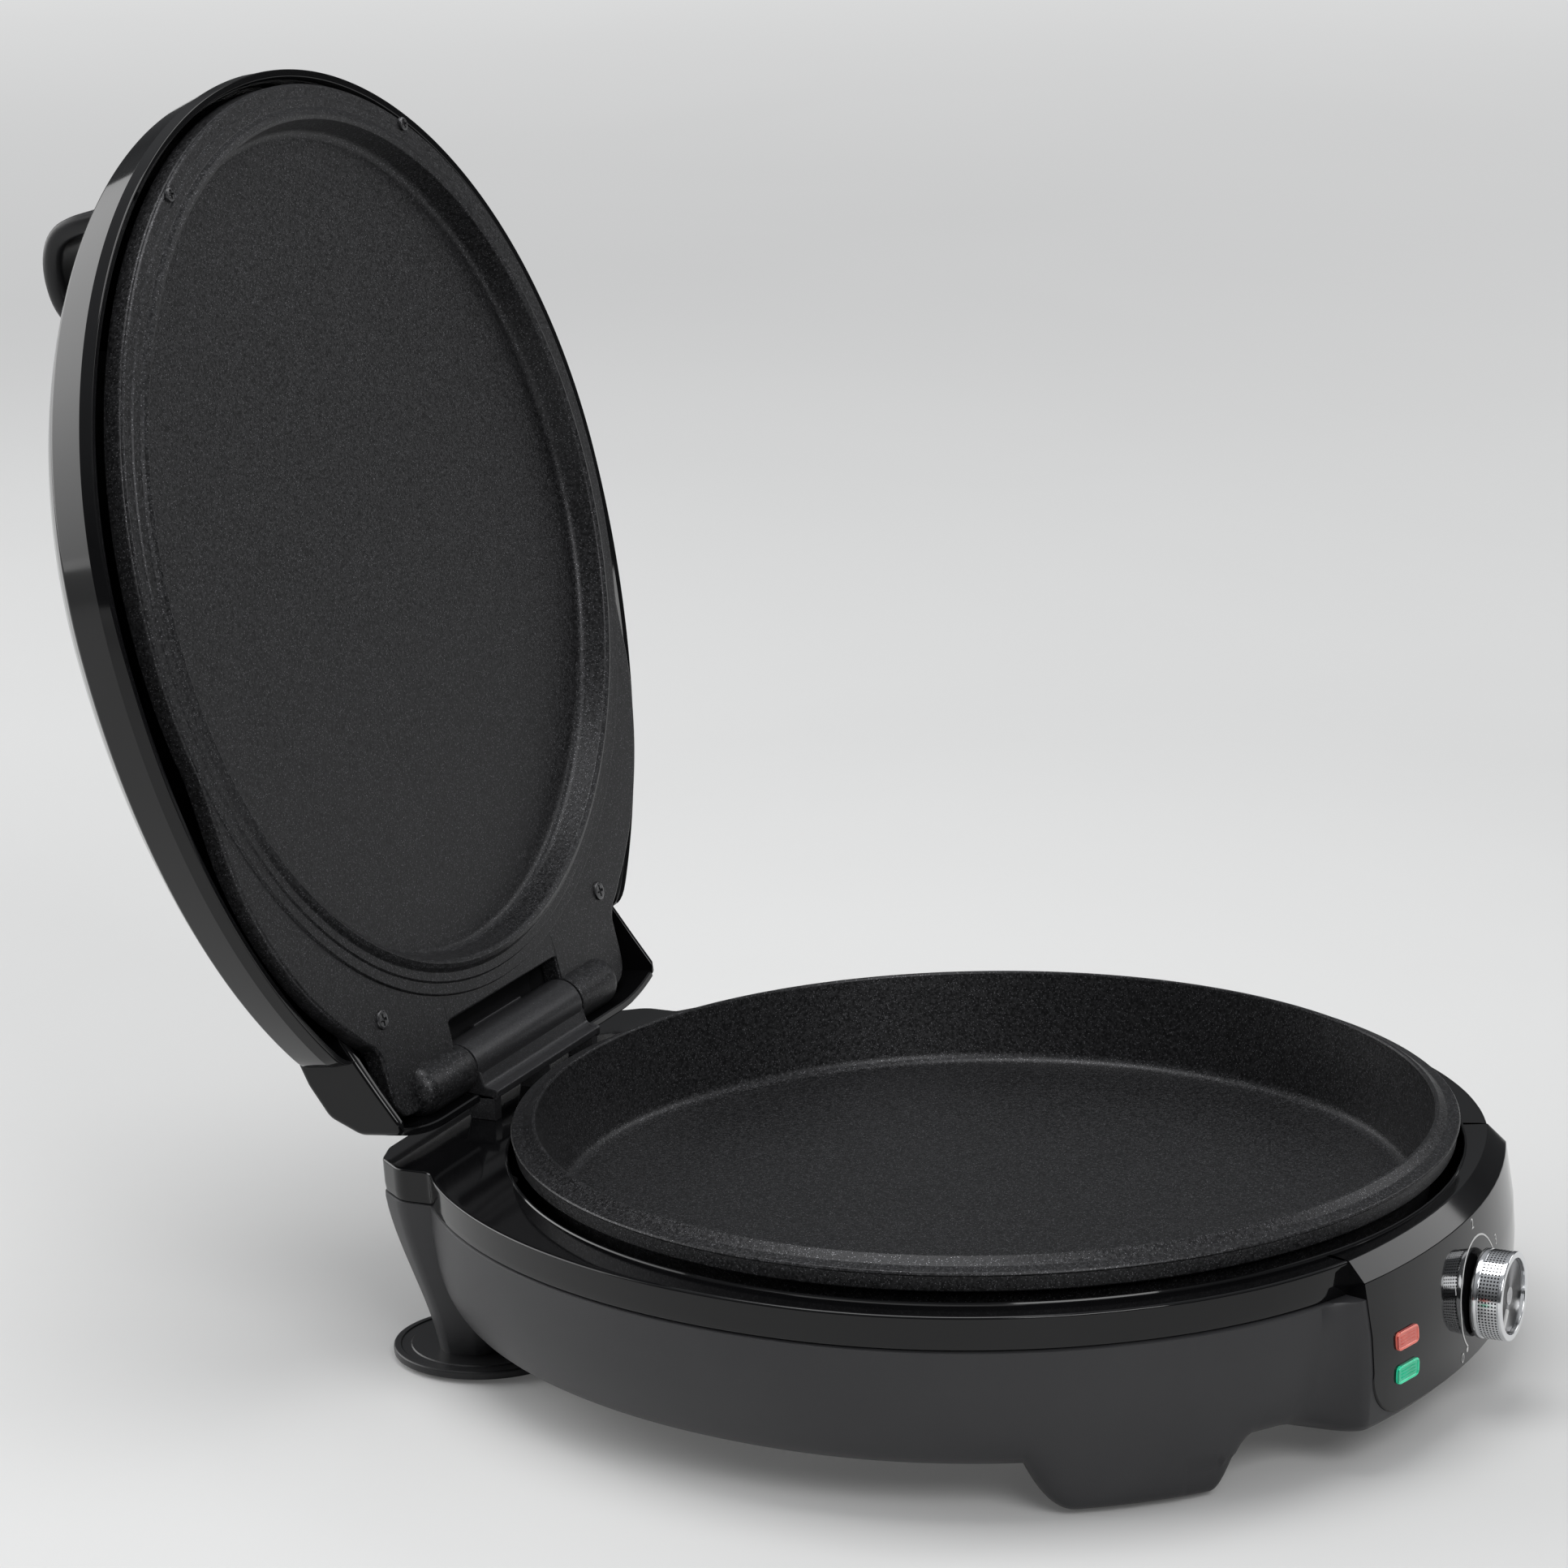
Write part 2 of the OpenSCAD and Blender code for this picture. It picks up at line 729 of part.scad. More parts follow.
// Cord-winding disc on the side given by s
module cord_disc(s) {
    difference() {
        translate([s * disc_x, leg_foot_y - 2, pad_proud])
            cylinder(r = disc_r, h = disc_t);
        translate([s * leg_foot_x, leg_foot_y, 0])
            cylinder(r = screw_r + run_fit, h = foot_z + 1);
        translate([s * leg_foot_x, leg_foot_y, 0])
            cylinder(r = screw_head_r + seat_gap, h = pad_proud + 1.6);
    }
}

module cord_disc_left() {
    color("#17181a")
        translate(origin_shift)
        cord_disc(-1);
}

module cord_disc_right() {
    color("#17181a")
        translate(origin_shift)
        cord_disc(1);
}

module disc_screws() {
    color("#a9abad")
        translate(origin_shift)
        for (s = [-1, 1])
            translate([s * leg_foot_x, leg_foot_y, pad_proud]) {
                cylinder(r = screw_head_r, h = 1.5);
                cylinder(r = screw_r, h = disc_t + 10);
            }
}

module foot_pads() {
    color("#26272a")
        translate(origin_shift)
        for (s = [-1, 1]) {
            rotate([0, 0, -90 + s * 50])
                translate([(lug_inner + lug_outer) / 2, 0, 0])
                    cylinder(r = pad_r, h = pad_proud + pad_sink);
            translate([s * (disc_x - 14), leg_foot_y - 6, 0])
                cylinder(r = pad_r, h = pad_proud);
        }
}

module thermostat() {
    color("#e8e4da")
        translate(origin_shift)
        difference() {
            translate([-thermostat_w / 2, -bracket_y + bracket_t, knob_h - thermostat_h / 2])
                cube([thermostat_w, thermostat_d, thermostat_h]);
            bar_front(shaft_r + run_fit, 0, -bracket_y + bracket_t + shaft_in + 1, knob_h, 20);
        }
}

module thermostat_bracket() {
    color("#b5b7ba")
        translate(origin_shift)
        difference() {
            translate([-bracket_w / 2, -bracket_y, knob_h - bracket_h / 2])
                cube([bracket_w, bracket_t, bracket_h]);
            bar_front(shaft_r + 1, 0, -bracket_y + 5, knob_h, 10);
        }
}

// Lens of one indicator, set in its window
module lens(h) {
    front_at(-lens_a, front_curve_r, h)
        translate([-lens_w / 2, -0.5, -lens_h / 2])
            cube([lens_w, 5, lens_h]);
}

module red_lens() {
    color("#d95a4e")
        translate(origin_shift)
        lens(lens_top_h);
}

module green_lens() {
    color("#14c596")
        translate(origin_shift)
        lens(lens_top_h - lens_pitch);
}

module lamp_holder() {
    color("#e8e4da")
        translate(origin_shift)
        front_at(-lens_a, front_curve_r, lens_top_h - lens_pitch / 2)
            translate([-lens_w / 2 - 3, 4.6, -lens_pitch])
                difference() {
                    cube([lens_w + 6, 7, 2 * lens_pitch]);
                    for (z = [lens_pitch / 2, lens_pitch * 1.5])
                        translate([lens_w / 2 + 3, 8, z])
                            rotate([90, 0, 0])
                                cylinder(r = 2.6, h = 9);
                }
}

module terminal_block() {
    color("#dcd6c8")
        translate(origin_shift)
        difference() {
            post_box(44, 18, 15, 0, post_ring_r - 34, housing_lift);
            for (x = [-15 : 10 : 15])
                translate([x, post_ring_r - 34, housing_lift + 6])
                    cylinder(r = 2, h = 20);
        }
}

module thermal_fuse() {
    color("#d9dadb")
        translate(origin_shift)
        difference() {
            post_box(26, 10, 9, 55, 0, pan_under - 9);
            bar_x(2.2, 30, 80, 0, pan_under - 4.5);
        }
}

module cord_inlet() {
    color("#1b1c1e")
        translate(origin_shift)
        difference() {
            union() {
                bar_front(inlet_flange_r, 0, back_y - 0.5 + inlet_flange_t, inlet_h, inlet_flange_t);
                bar_front(inlet_body_r, 0, back_y, inlet_h, 20);
            }
            bar_front(inlet_r, 0, back_y + 5, inlet_h, 40);
        }
}

module hinge_pin() {
    color("#c9cbcd")
        translate(origin_shift)
        bar_x(pin_r, -pin_end, pin_end, hinge_y, axis_z);
}

module knob_sleeve() {
    color("#d8dadc")
        translate(origin_shift)
        difference() {
            translate([0, -knob_back, knob_h])
                rotate([90, 0, 0])
                    rotate_extrude()
                        polygon([[shaft_r + run_fit, 0], [knob_r - 0.4, 0], [knob_r, 0.5],
                            [knob_r, knob_len - 1.5], [knob_r - 1.2, knob_len],
                            [dish_r + 0.4, knob_len], [dish_r, knob_len - dish_depth],
                            [shaft_r + run_fit, knob_len - dish_depth]]);
        }
}

module knob_face() {
    color("#4a4b4d")
        translate(origin_shift)
        bar_front(dish_r - seat_gap, 0, -knob_front + dish_depth, knob_h, face_t);
}

module knob_pointer() {
    color("#f2f2f0")
        translate(origin_shift)
        translate([0, -knob_front + dish_depth - face_t, knob_h])
            rotate([0, -51, 0])
                translate([-dish_r + 1, -0.6, -0.8])
                    cube([7, 0.6, 1.6]);
}

module thermostat_shaft() {
    color("#c9cbcd")
        translate(origin_shift)
        bar_front(shaft_r, 0, -bracket_y + bracket_t + shaft_in, knob_h,
            knob_front - dish_depth - bracket_y + bracket_t + shaft_in);
}

// Plan of the lid plate, drawn in by inset: egg front, shoulders and a neck
module lid_plan(inset) {
    w = neck_half_w - inset;
    r = 14 - inset;
    intersection() {
        egg(lid_r - inset, lid_back_r - inset);
        translate([-300, -300])
            square([600, 300 + neck_y - 35 - inset]);
    }
    translate([-w, neck_y - 66])
        square([2 * w, 66 - inset - r]);
    translate([-w + r, neck_y - 66])
        square([2 * (w - r), 66 - inset]);
    for (s = [-1, 1])
        translate([s * (w - r), neck_y - inset - r])
            circle(r = r);
}

// Knuckle with its domed outer end, for side s
module knuckle(s) {
    translate([s * knuckle_in, hinge_y, axis_z])
        rotate([0, s * 90, 0])
            rotate_extrude()
                polygon([[0, 0], [barrel_r, 0], [barrel_r, knuckle_len],
                    [barrel_r - 0.4, knuckle_len + 2.4], [barrel_r * 0.8, knuckle_len + 4.6],
                    [barrel_r * 0.5, knuckle_len + 6], [0, knuckle_len + dome_len]]);
}

module lid_plate() {
    color("#35363a")
        translate(origin_shift)
        lid_pose()
            difference() {
                union() {
                    difference() {
                        translate([0, 0, land_z])
                            linear_extrude(lid_skirt)
                                lid_plan(0);
                        translate([0, 0, land_z + lid_wall])
                            linear_extrude(lid_skirt)
                                lid_plan(lid_wall);
                        translate([0, 0, land_z - 1])
                            cylinder(r = bead_r + 6.5, h = lid_skirt + 2, $fn = 180);
                    }
                    rotate_extrude($fn = 180)
                        polygon([[bead_r + 6.7, land_z], [bead_r + 6.4, land_z - 0.4],
                            [bead_r + 3.2, land_z - 0.5], [bead_r + 1.4, crest_z + 0.2],
                            [bead_r, crest_z], [bead_r - 1.6, crest_z + 1],
                            [bead_r - 3, recess_z - 2.4], [bead_r - 5.4, recess_z],
                            [0, recess_z], [0, recess_top], [bead_r - 4, recess_top],
                            [bead_r - 0.4, recess_z], [bead_r + 0.8, land_z + lid_wall - 1],
                            [bead_r + 4, land_z + lid_wall], [bead_r + 7.2, land_z + lid_wall],
                            [bead_r + 7.2, land_z]]);
                    for (s = [-1, 1])
                        knuckle(s);
                    for (a = lid_stud_angles)
                        rotate([0, 0, a])
                            translate([post_ring_r, 0, recess_top - 0.5])
                                cylinder(r = stud_r, h = lid_stud_len + 0.5);
                }
                bar_x(pin_r + run_fit, -knuckle_end + 2, knuckle_end + dome_len + 1, hinge_y, axis_z);
                post_box(2 * knuckle_in, 60, 40, 0, hinge_y + 14, axis_z - 20);
                mirrored()
                    rotate([0, 0, -90 + (90 - rim_screw_a)])
                        translate([rim_screw_r, 0, land_z - 3])
                            cylinder(r = screw_r - 0.4 + run_fit, h = 12);
                mirrored()
                    translate([neck_screw[0], neck_screw[1], land_z - 3])
                        cylinder(r = screw_r + run_fit, h = 12);
                mirrored()
                    translate([neck_screw[0], neck_screw[1], land_z - 0.1])
                        cylinder(r = screw_head_r + seat_gap, h = 1.5);
            }
}

module lid_element() {
    color("#8d8f92")
        translate(origin_shift)
        lid_pose()
            ring_element(recess_top + element_r + 0.1, 7);
}

module lid_element_clamps() {
    color("#b5b7ba")
        translate(origin_shift)
        lid_pose()
            element_straps(recess_top, 1);
}

module lid_heat_shield() {
    color("#c4c6c8")
        translate(origin_shift)
        lid_pose()
            difference() {
                translate([0, 0, lid_shield_z])
                    cylinder(r = shield_r - 2, h = shield_t);
                for (s = [-1, 1])
                    rotate([0, 0, 90 + s * cold_end])
                        translate([element_ring, 0, lid_shield_z - 1])
                            cylinder(r = element_r + 1.5, h = shield_t + 2);
            }
}

// Solid dome of the lid, drawn in by inset and cut by a slope towards the hood
module dome_solid(inset) {
    y = dome_cut - inset;
    top = dome_top - inset;
    intersection() {
        hull()
            for (p = dome_inset)
                translate([0, 0, rim_low + p[1] - (p[1] > shell_band + 1 ? inset : 0)])
                    linear_extrude(0.01)
                        egg(shell_r - p[0] - inset, shell_back_r - p[0] * 1.15 - inset);
        side_prism([[-240, rim_low - 1], [y, rim_low - 1], [y, band_top + 5 - inset],
            [y - 50, top - 3], [y - 80, top + 4], [-240, top + 4]], -240, 240);
    }
}

module lid_shell() {
    color("#141517")
        translate(origin_shift)
        lid_pose()
            difference() {
                union() {
                    difference() {
                        union() {
                            dome_solid(0);
                            side_prism(hood_line, -hood_half_w, hood_half_w);
                        }
                        dome_solid(shell_wall);
                        side_prism(hood_hollow, -hood_half_w + shell_wall, hood_half_w - shell_wall);
                        translate([0, 0, rim_low - 1])
                            linear_extrude(4)
                                intersection() {
                                    egg(shell_r - 2 - shell_wall, shell_back_r - 2 - shell_wall);
                                    translate([-300, -300])
                                        square([600, 300 + dome_cut - shell_wall]);
                                }
                    }
                    intersection() {
                        union() {
                            mirrored()
                                rotate([0, 0, -90 + (90 - rim_screw_a)])
                                    translate([rim_screw_r - 1.6, 0, land_z + lid_wall])
                                        cylinder(r = shell_post_r, h = 40);
                            mirrored()
                                translate([neck_screw[0], neck_screw[1], land_z + lid_wall])
                                    cylinder(r = shell_post_r, h = 40);
                            for (y = handle_foot_y)
                                translate([0, y, dome_z(-y) - handle_boss_drop])
                                    cylinder(r = handle_boss_r, h = 40);
                        }
                        union() {
                            dome_solid(0.5);
                            translate([0, 0, land_z])
                                linear_extrude(14)
                                    lid_plan(lid_wall + 0.3);
                        }
                    }
                }
                mirrored()
                    rotate([0, 0, -90 + (90 - rim_screw_a)])
                        translate([rim_screw_r, 0, land_z])
                            cylinder(r = screw_r - 0.4 + run_fit, h = 16);
                mirrored()
                    translate([neck_screw[0], neck_screw[1], land_z])
                        cylinder(r = screw_r + run_fit, h = 16);
                post_box(2 * (barrel_half + 3), 60, 40, 0, hinge_y + 16, axis_z + 1 - 40);
                for (y = handle_foot_y)
                    translate([0, y, rim_low])
                        cylinder(r = screw_r + run_fit, h = 80);
            }
}

module hinge_plug() {
    color("#35363a")
        translate(origin_shift)
        lid_pose()
            bar_x(pin_r, pin_end + 1, knuckle_end + dome_len - 1, hinge_y, axis_z);
}

module lid_rim_screws() {
    color("#9a9c9e")
        translate(origin_shift)
        lid_pose()
            mirrored()
                rotate([0, 0, -90 + (90 - rim_screw_a)])
                    translate([rim_screw_r, 0, land_z]) {
                        translate([0, 0, -1.2])
                            cylinder(r = rim_head_r, h = 1.2);
                        cylinder(r = screw_r - 0.4, h = rim_screw_len);
                    }
}

module lid_neck_screws() {
    color("#9a9c9e")
        translate(origin_shift)
        lid_pose()
            mirrored()
                translate([neck_screw[0], neck_screw[1], land_z]) {
                    cylinder(r = screw_head_r, h = 1.4);
                    cylinder(r = screw_r, h = neck_screw_len);
                }
}

// Outline of the loop as [y, z], drawn in by inset
function loop_line(inset) = let(
        front = -handle_front + inset, top = loop_z - inset, r = loop_round - inset,
        back = -handle_back - inset, mid = -handle_front + 46)
    concat([[front, band_top]],
        [for (a = [180 : -10 : 90]) [front + r + r * cos(a), top - r + r * sin(a)]],
        [for (t = [1 : 8]) let(u = t / 8)
            [mid - 24 + 24 + (back - mid) * u, top - (top - band_top - 6) * u * u * 0.94 - 1.6 * u]],
        [[back + 2, band_top]]);

module loop_solid(inset, half_w) {
    side_prism(loop_line(inset), -half_w, half_w);
}

module lid_handle() {
    color("#1b1c1e")
        translate(origin_shift)
        lid_pose()
            difference() {
                loop_solid(0, handle_half_w);
                loop_solid(handle_t, handle_half_w + 1);
                dome_solid(-0.05);
                for (y = handle_foot_y)
                    translate([0, y, rim_low])
                        cylinder(r = screw_r + run_fit, h = dome_z(-y) - rim_low + 9);
            }
}

module handle_saddle() {
    color("#1b1c1e")
        translate(origin_shift)
        lid_pose()
            difference() {
                translate([-saddle_half_w, 0, 0])
                    rotate([90, 0, 90])
                        linear_extrude(2 * saddle_half_w)
                            intersection() {
                                translate([27 - handle_front, saddle_z - saddle_r])
                                    circle(r = saddle_r);
                                translate([-handle_front + handle_t + seat_gap, band_top])
                                    square([80, 80]);
                            }
                dome_solid(-0.05);
            }
}

module handle_screws() {
    color("#9a9c9e")
        translate(origin_shift)
        lid_pose()
            for (y = handle_foot_y)
                translate([0, y, dome_z(-y) - handle_boss_drop]) {
                    translate([0, 0, -2])
                        cylinder(r = screw_head_r, h = 2);
                    cylinder(r = screw_r, h = handle_boss_drop + 8);
                }
}

lower_pan();
lower_element();
lower_element_clamps();
lower_heat_shield();
pan_screws();
base_housing();
base_bezel();
bottom_plate();
bottom_screws();
cord_disc_left();
cord_disc_right();
disc_screws();
foot_pads();
thermostat();
thermostat_bracket();
lamp_holder();
red_lens();
green_lens();
terminal_block();
thermal_fuse();
cord_inlet();
hinge_bracket();
hinge_pin();
knob_sleeve();
knob_face();
knob_pointer();
thermostat_shaft();
lid_plate();
lid_element();
lid_element_clamps();
lid_heat_shield();
lid_shell();
hinge_plug();
lid_rim_screws();
lid_neck_screws();
lid_handle();
handle_saddle();
handle_screws();
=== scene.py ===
import math
import bpy
import bmesh
from mathutils import Matrix, Vector


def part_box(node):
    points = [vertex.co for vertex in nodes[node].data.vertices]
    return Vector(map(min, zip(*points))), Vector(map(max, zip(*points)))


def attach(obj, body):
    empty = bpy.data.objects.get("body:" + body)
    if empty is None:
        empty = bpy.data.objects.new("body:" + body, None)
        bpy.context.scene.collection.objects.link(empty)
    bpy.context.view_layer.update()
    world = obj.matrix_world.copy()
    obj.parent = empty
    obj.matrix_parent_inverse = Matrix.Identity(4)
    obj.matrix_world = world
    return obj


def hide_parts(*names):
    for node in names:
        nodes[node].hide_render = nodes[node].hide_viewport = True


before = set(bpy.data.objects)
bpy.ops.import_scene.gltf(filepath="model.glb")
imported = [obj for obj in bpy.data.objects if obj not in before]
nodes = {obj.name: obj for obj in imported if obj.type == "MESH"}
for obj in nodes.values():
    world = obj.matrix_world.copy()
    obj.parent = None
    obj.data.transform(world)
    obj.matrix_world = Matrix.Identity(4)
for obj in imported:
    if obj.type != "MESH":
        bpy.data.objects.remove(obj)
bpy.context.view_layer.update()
mm = 0.001
scene = bpy.context.scene
scene.view_settings.view_transform = "Standard"
print("frame loaded:", len(nodes), "nodes")

# levels and places that every piece shares, in mm
place = {
    "rimZ": 85.0,
    "hingeY": 180.5,
    "hingeZ": 89.6,
    "openAngle": 103.7,
}


def setInput(node, name, value):
    node.inputs[name].default_value = value


def wire(tree, fromSocket, toSocket):
    tree.links.new(fromSocket, toSocket)


def newGroup(name, inputs, outputs):
    group = bpy.data.node_groups.new(name, "ShaderNodeTree")
    for label, value in inputs.items():
        socket = group.interface.new_socket(label, in_out="INPUT", socket_type="NodeSocketFloat")
        socket.default_value = value
    for label in outputs:
        group.interface.new_socket(label, in_out="OUTPUT", socket_type="NodeSocketFloat")
    inNode = group.nodes.new("NodeGroupInput")
    outNode = group.nodes.new("NodeGroupOutput")
    return group, inNode, outNode


def mathNode(tree, operation, a, b, clamp=False):
    node = tree.nodes.new("ShaderNodeMath")
    node.operation = operation
    node.use_clamp = clamp
    for socket, value in zip(node.inputs, (a, b)):
        if isinstance(value, bpy.types.NodeSocket):
            wire(tree, value, socket)
        else:
            socket.default_value = value
    return node.outputs[0]


# a texture in the object's own space, at the group's scale
def addTexture(group, inNode, kind):
    coords = group.nodes.new("ShaderNodeTexCoord")
    texture = group.nodes.new(kind)
    wire(group, coords.outputs["Object"], texture.inputs["Vector"])
    wire(group, inNode.outputs["Scale"], texture.inputs["Scale"])
    return texture


def mapRange(tree, value, limits):
    node = tree.nodes.new("ShaderNodeMapRange")
    for label, limit in limits.items():
        setInput(node, label, limit)
    wire(tree, value, node.inputs[0])
    return node.outputs[0]


def makeGrain():
    group, inNode, outNode = newGroup(
        "surfaceGrain", {"Scale": 2000.0, "Sharpness": 0.5}, ["Mask", "Height"])
    noise = addTexture(group, inNode, "ShaderNodeTexNoise")
    setInput(noise, "Detail", 2.0)
    setInput(noise, "Roughness", 0.6)
    wire(group, noise.outputs[0], outNode.inputs["Height"])
    centred = mathNode(group, "SUBTRACT", noise.outputs[0], 0.5)
    gain = mathNode(group, "MULTIPLY", inNode.outputs["Sharpness"], 12.0)
    lifted = mathNode(group, "MULTIPLY", centred, gain)
    mask = mathNode(group, "ADD", lifted, 0.5, clamp=True)
    wire(group, mask, outNode.inputs["Mask"])
    return group


def makeSparkle():
    group, inNode, outNode = newGroup(
        "coatingSparkle", {"Scale": 1500.0, "Share": 0.1}, ["Mask", "Height"])
    cells = addTexture(group, inNode, "ShaderNodeTexVoronoi")
    split = group.nodes.new("ShaderNodeSeparateColor")
    wire(group, cells.outputs["Color"], split.inputs[0])
    picked = mathNode(group, "LESS_THAN", split.outputs[0], inNode.outputs["Share"])
    near = mathNode(group, "LESS_THAN", cells.outputs["Distance"], 0.42)
    shade = mathNode(group, "MULTIPLY", split.outputs[1], 0.7)
    level = mathNode(group, "ADD", shade, 0.3)
    spot = mathNode(group, "MULTIPLY", picked, near)
    mask = mathNode(group, "MULTIPLY", spot, level)
    wire(group, mask, outNode.inputs["Mask"])
    wire(group, cells.outputs["Distance"], outNode.inputs["Height"])
    return group


def makeSmudge():
    group, inNode, outNode = newGroup("handledFilm", {"Scale": 30.0, "Amount": 0.5}, ["Mask"])
    noise = addTexture(group, inNode, "ShaderNodeTexNoise")
    setInput(noise, "Detail", 5.0)
    setInput(noise, "Distortion", 0.6)
    curve = mapRange(group, noise.outputs[0], {"From Min": 0.35, "From Max": 0.75})
    mask = mathNode(group, "MULTIPLY", curve, inNode.outputs["Amount"])
    wire(group, mask, outNode.inputs["Mask"])
    return group


grainGroup = makeGrain()
sparkleGroup = makeSparkle()
smudgeGroup = makeSmudge()


def groupNode(tree, group, **values):
    node = tree.nodes.new("ShaderNodeGroup")
    node.node_tree = group
    for label, value in values.items():
        setInput(node, label, value)
    return node


def newMaterial(name, **values):
    material = bpy.data.materials.new(name)
    material.use_nodes = True
    tree = material.node_tree
    shader = tree.nodes["Principled BSDF"]
    for label, value in values.items():
        setInput(shader, label.replace("_", " "), value)
    return material, tree, shader


def blendColour(tree, mask, dark, light):
    ramp = tree.nodes.new("ShaderNodeMix")
    ramp.data_type = "RGBA"
    wire(tree, mask, ramp.inputs[0])
    ramp.inputs[6].default_value = (*dark, 1)
    ramp.inputs[7].default_value = (*light, 1)
    return ramp.outputs[2]


def addBump(tree, shader, height, strength, distance):
    bump = tree.nodes.new("ShaderNodeBump")
    setInput(bump, "Strength", strength)
    setInput(bump, "Distance", distance)
    wire(tree, height, bump.inputs["Height"])
    wire(tree, bump.outputs[0], shader.inputs["Normal"])


# colour, roughness that follows a mask, and fine relief
def addSurface(tree, shader, look, colour, mask, grain, distance=0.0002):
    rough = mapRange(tree, mask, {"To Min": look["smooth"], "To Max": look["rough"]})
    wire(tree, colour, shader.inputs["Base Color"])
    wire(tree, rough, shader.inputs["Roughness"])
    addBump(tree, shader, grain.outputs["Height"], look["bump"], distance)


# charcoal non-stick coating with fine metallic specks
def makeCoating(name, look):
    material, tree, shader = newMaterial(name, Metallic=look["metallic"])
    setInput(shader, "Specular IOR Level", look["specular"])
    specks = groupNode(tree, sparkleGroup, Scale=look["speckScale"], Share=look["speckShare"])
    grain = groupNode(tree, grainGroup, Scale=look["grainScale"], Sharpness=0.35)
    base = blendColour(tree, grain.outputs["Mask"], look["dark"], look["light"])
    mix = tree.nodes.new("ShaderNodeMix")
    mix.data_type = "RGBA"
    wire(tree, specks.outputs["Mask"], mix.inputs[0])
    wire(tree, base, mix.inputs[6])
    mix.inputs[7].default_value = (*look["speck"], 1)
    addSurface(tree, shader, look, mix.outputs[2], grain.outputs["Mask"], grain)
    return material


# moulded plastic: gloss or satin, with a faint film of handling
def makeMoulded(name, look):
    material, tree, shader = newMaterial(name)
    setInput(shader, "Specular IOR Level", look["specular"])
    if "glow" in look:
        setInput(shader, "Emission Color", (*look["glow"], 1))
        setInput(shader, "Emission Strength", 1.0)
    if look.get("coat"):
        setInput(shader, "Coat Weight", look["coat"])
        setInput(shader, "Coat Roughness", 0.03)
    film = groupNode(tree, smudgeGroup, Scale=look["filmScale"], Amount=1.0)
    grain = groupNode(tree, grainGroup, Scale=look["grainScale"], Sharpness=0.3)
    colour = blendColour(tree, film.outputs["Mask"], look["dark"], look["light"])
    addSurface(tree, shader, look, colour, film.outputs["Mask"], grain)
    return material


# two opposite wedges of painted highlight in the base colour, set by angle about the face's centre,
# in place of the sheen on a face spun on a lathe
def addWedges(tree, shader, look):
    coords = tree.nodes.new("ShaderNodeTexCoord")
    centred = tree.nodes.new("ShaderNodeVectorMath")
    centred.operation = "SUBTRACT"
    centred.inputs[1].default_value = (0.5, 0.5, 0.5)
    wire(tree, coords.outputs["Generated"], centred.inputs[0])
    split = tree.nodes.new("ShaderNodeSeparateXYZ")
    wire(tree, centred.outputs[0], split.inputs[0])
    turn = math.radians(look["wedge"])
    across = mathNode(tree, "MULTIPLY", split.outputs[0], math.cos(turn))
    upward = mathNode(tree, "MULTIPLY", split.outputs[2], math.sin(turn))
    along = mathNode(tree, "ADD", across, upward)
    reach = mathNode(tree, "ADD", mathNode(tree, "MULTIPLY", split.outputs[0], split.outputs[0]),
                     mathNode(tree, "MULTIPLY", split.outputs[2], split.outputs[2]))
    share = mathNode(tree, "DIVIDE", mathNode(tree, "MULTIPLY", along, along), reach)
    mask = mathNode(tree, "POWER", share, look["wedgePower"], clamp=True)
    wire(tree, blendColour(tree, mask, look["dark"], look["wedgeColour"]),
         shader.inputs["Base Color"])


# bare or plated metal with fine drawn or spun lines
def makeMetal(name, look):
    material, tree, shader = newMaterial(name, Metallic=1.0)
    grain = groupNode(tree, grainGroup, Scale=look["grainScale"], Sharpness=0.4)
    film = groupNode(tree, smudgeGroup, Scale=look["filmScale"], Amount=1.0)
    colour = blendColour(tree, film.outputs["Mask"], look["dark"], look["light"])
    addSurface(tree, shader, look, colour, grain.outputs["Mask"], grain, 0.0001)
    # the knob face's lighter wedges are a painted highlight in the base colour
    if "wedge" in look:
        addWedges(tree, shader, look)
    if "anisotropic" in look:
        setInput(shader, "Anisotropic", look["anisotropic"])
        around = tree.nodes.new("ShaderNodeTangent")
        around.direction_type = "RADIAL"
        around.axis = "Y"
        wire(tree, around.outputs[0], shader.inputs["Tangent"])
    return material


coatingLook = {
    "metallic": 0.6, "specular": 0.4, "speckScale": 2300.0, "speckShare": 0.2,
    "grainScale": 900.0, "dark": (0.016, 0.016, 0.017), "light": (0.038, 0.038, 0.04),
    "speck": (0.17, 0.17, 0.18), "smooth": 0.34, "rough": 0.48, "bump": 0.4,
}
glossLook = {
    "specular": 0.35, "filmScale": 14.0, "grainScale": 60.0,
    "dark": (0.003, 0.003, 0.0033), "light": (0.005, 0.005, 0.0055),
    "smooth": 0.05, "rough": 0.1, "bump": 0.008,
}
satinLook = {
    "specular": 0.4, "filmScale": 20.0, "grainScale": 2600.0,
    "dark": (0.026, 0.026, 0.028), "light": (0.034, 0.034, 0.036),
    "smooth": 0.42, "rough": 0.5, "bump": 0.25,
}
matteLook = {
    "specular": 0.35, "filmScale": 25.0, "grainScale": 2400.0,
    "dark": (0.012, 0.012, 0.013), "light": (0.02, 0.02, 0.021),
    "smooth": 0.3, "rough": 0.42, "bump": 0.15,
}
steelLook = {
    "filmScale": 60.0, "grainScale": 3000.0, "dark": (0.42, 0.42, 0.43),
    "light": (0.6, 0.6, 0.61), "smooth": 0.24, "rough": 0.4, "bump": 0.12,
}
chromeLook = {
    "filmScale": 80.0, "grainScale": 2500.0, "dark": (0.8, 0.81, 0.82),
    "light": (0.8, 0.81, 0.83), "smooth": 0.08, "rough": 0.14, "bump": 0.02,
}
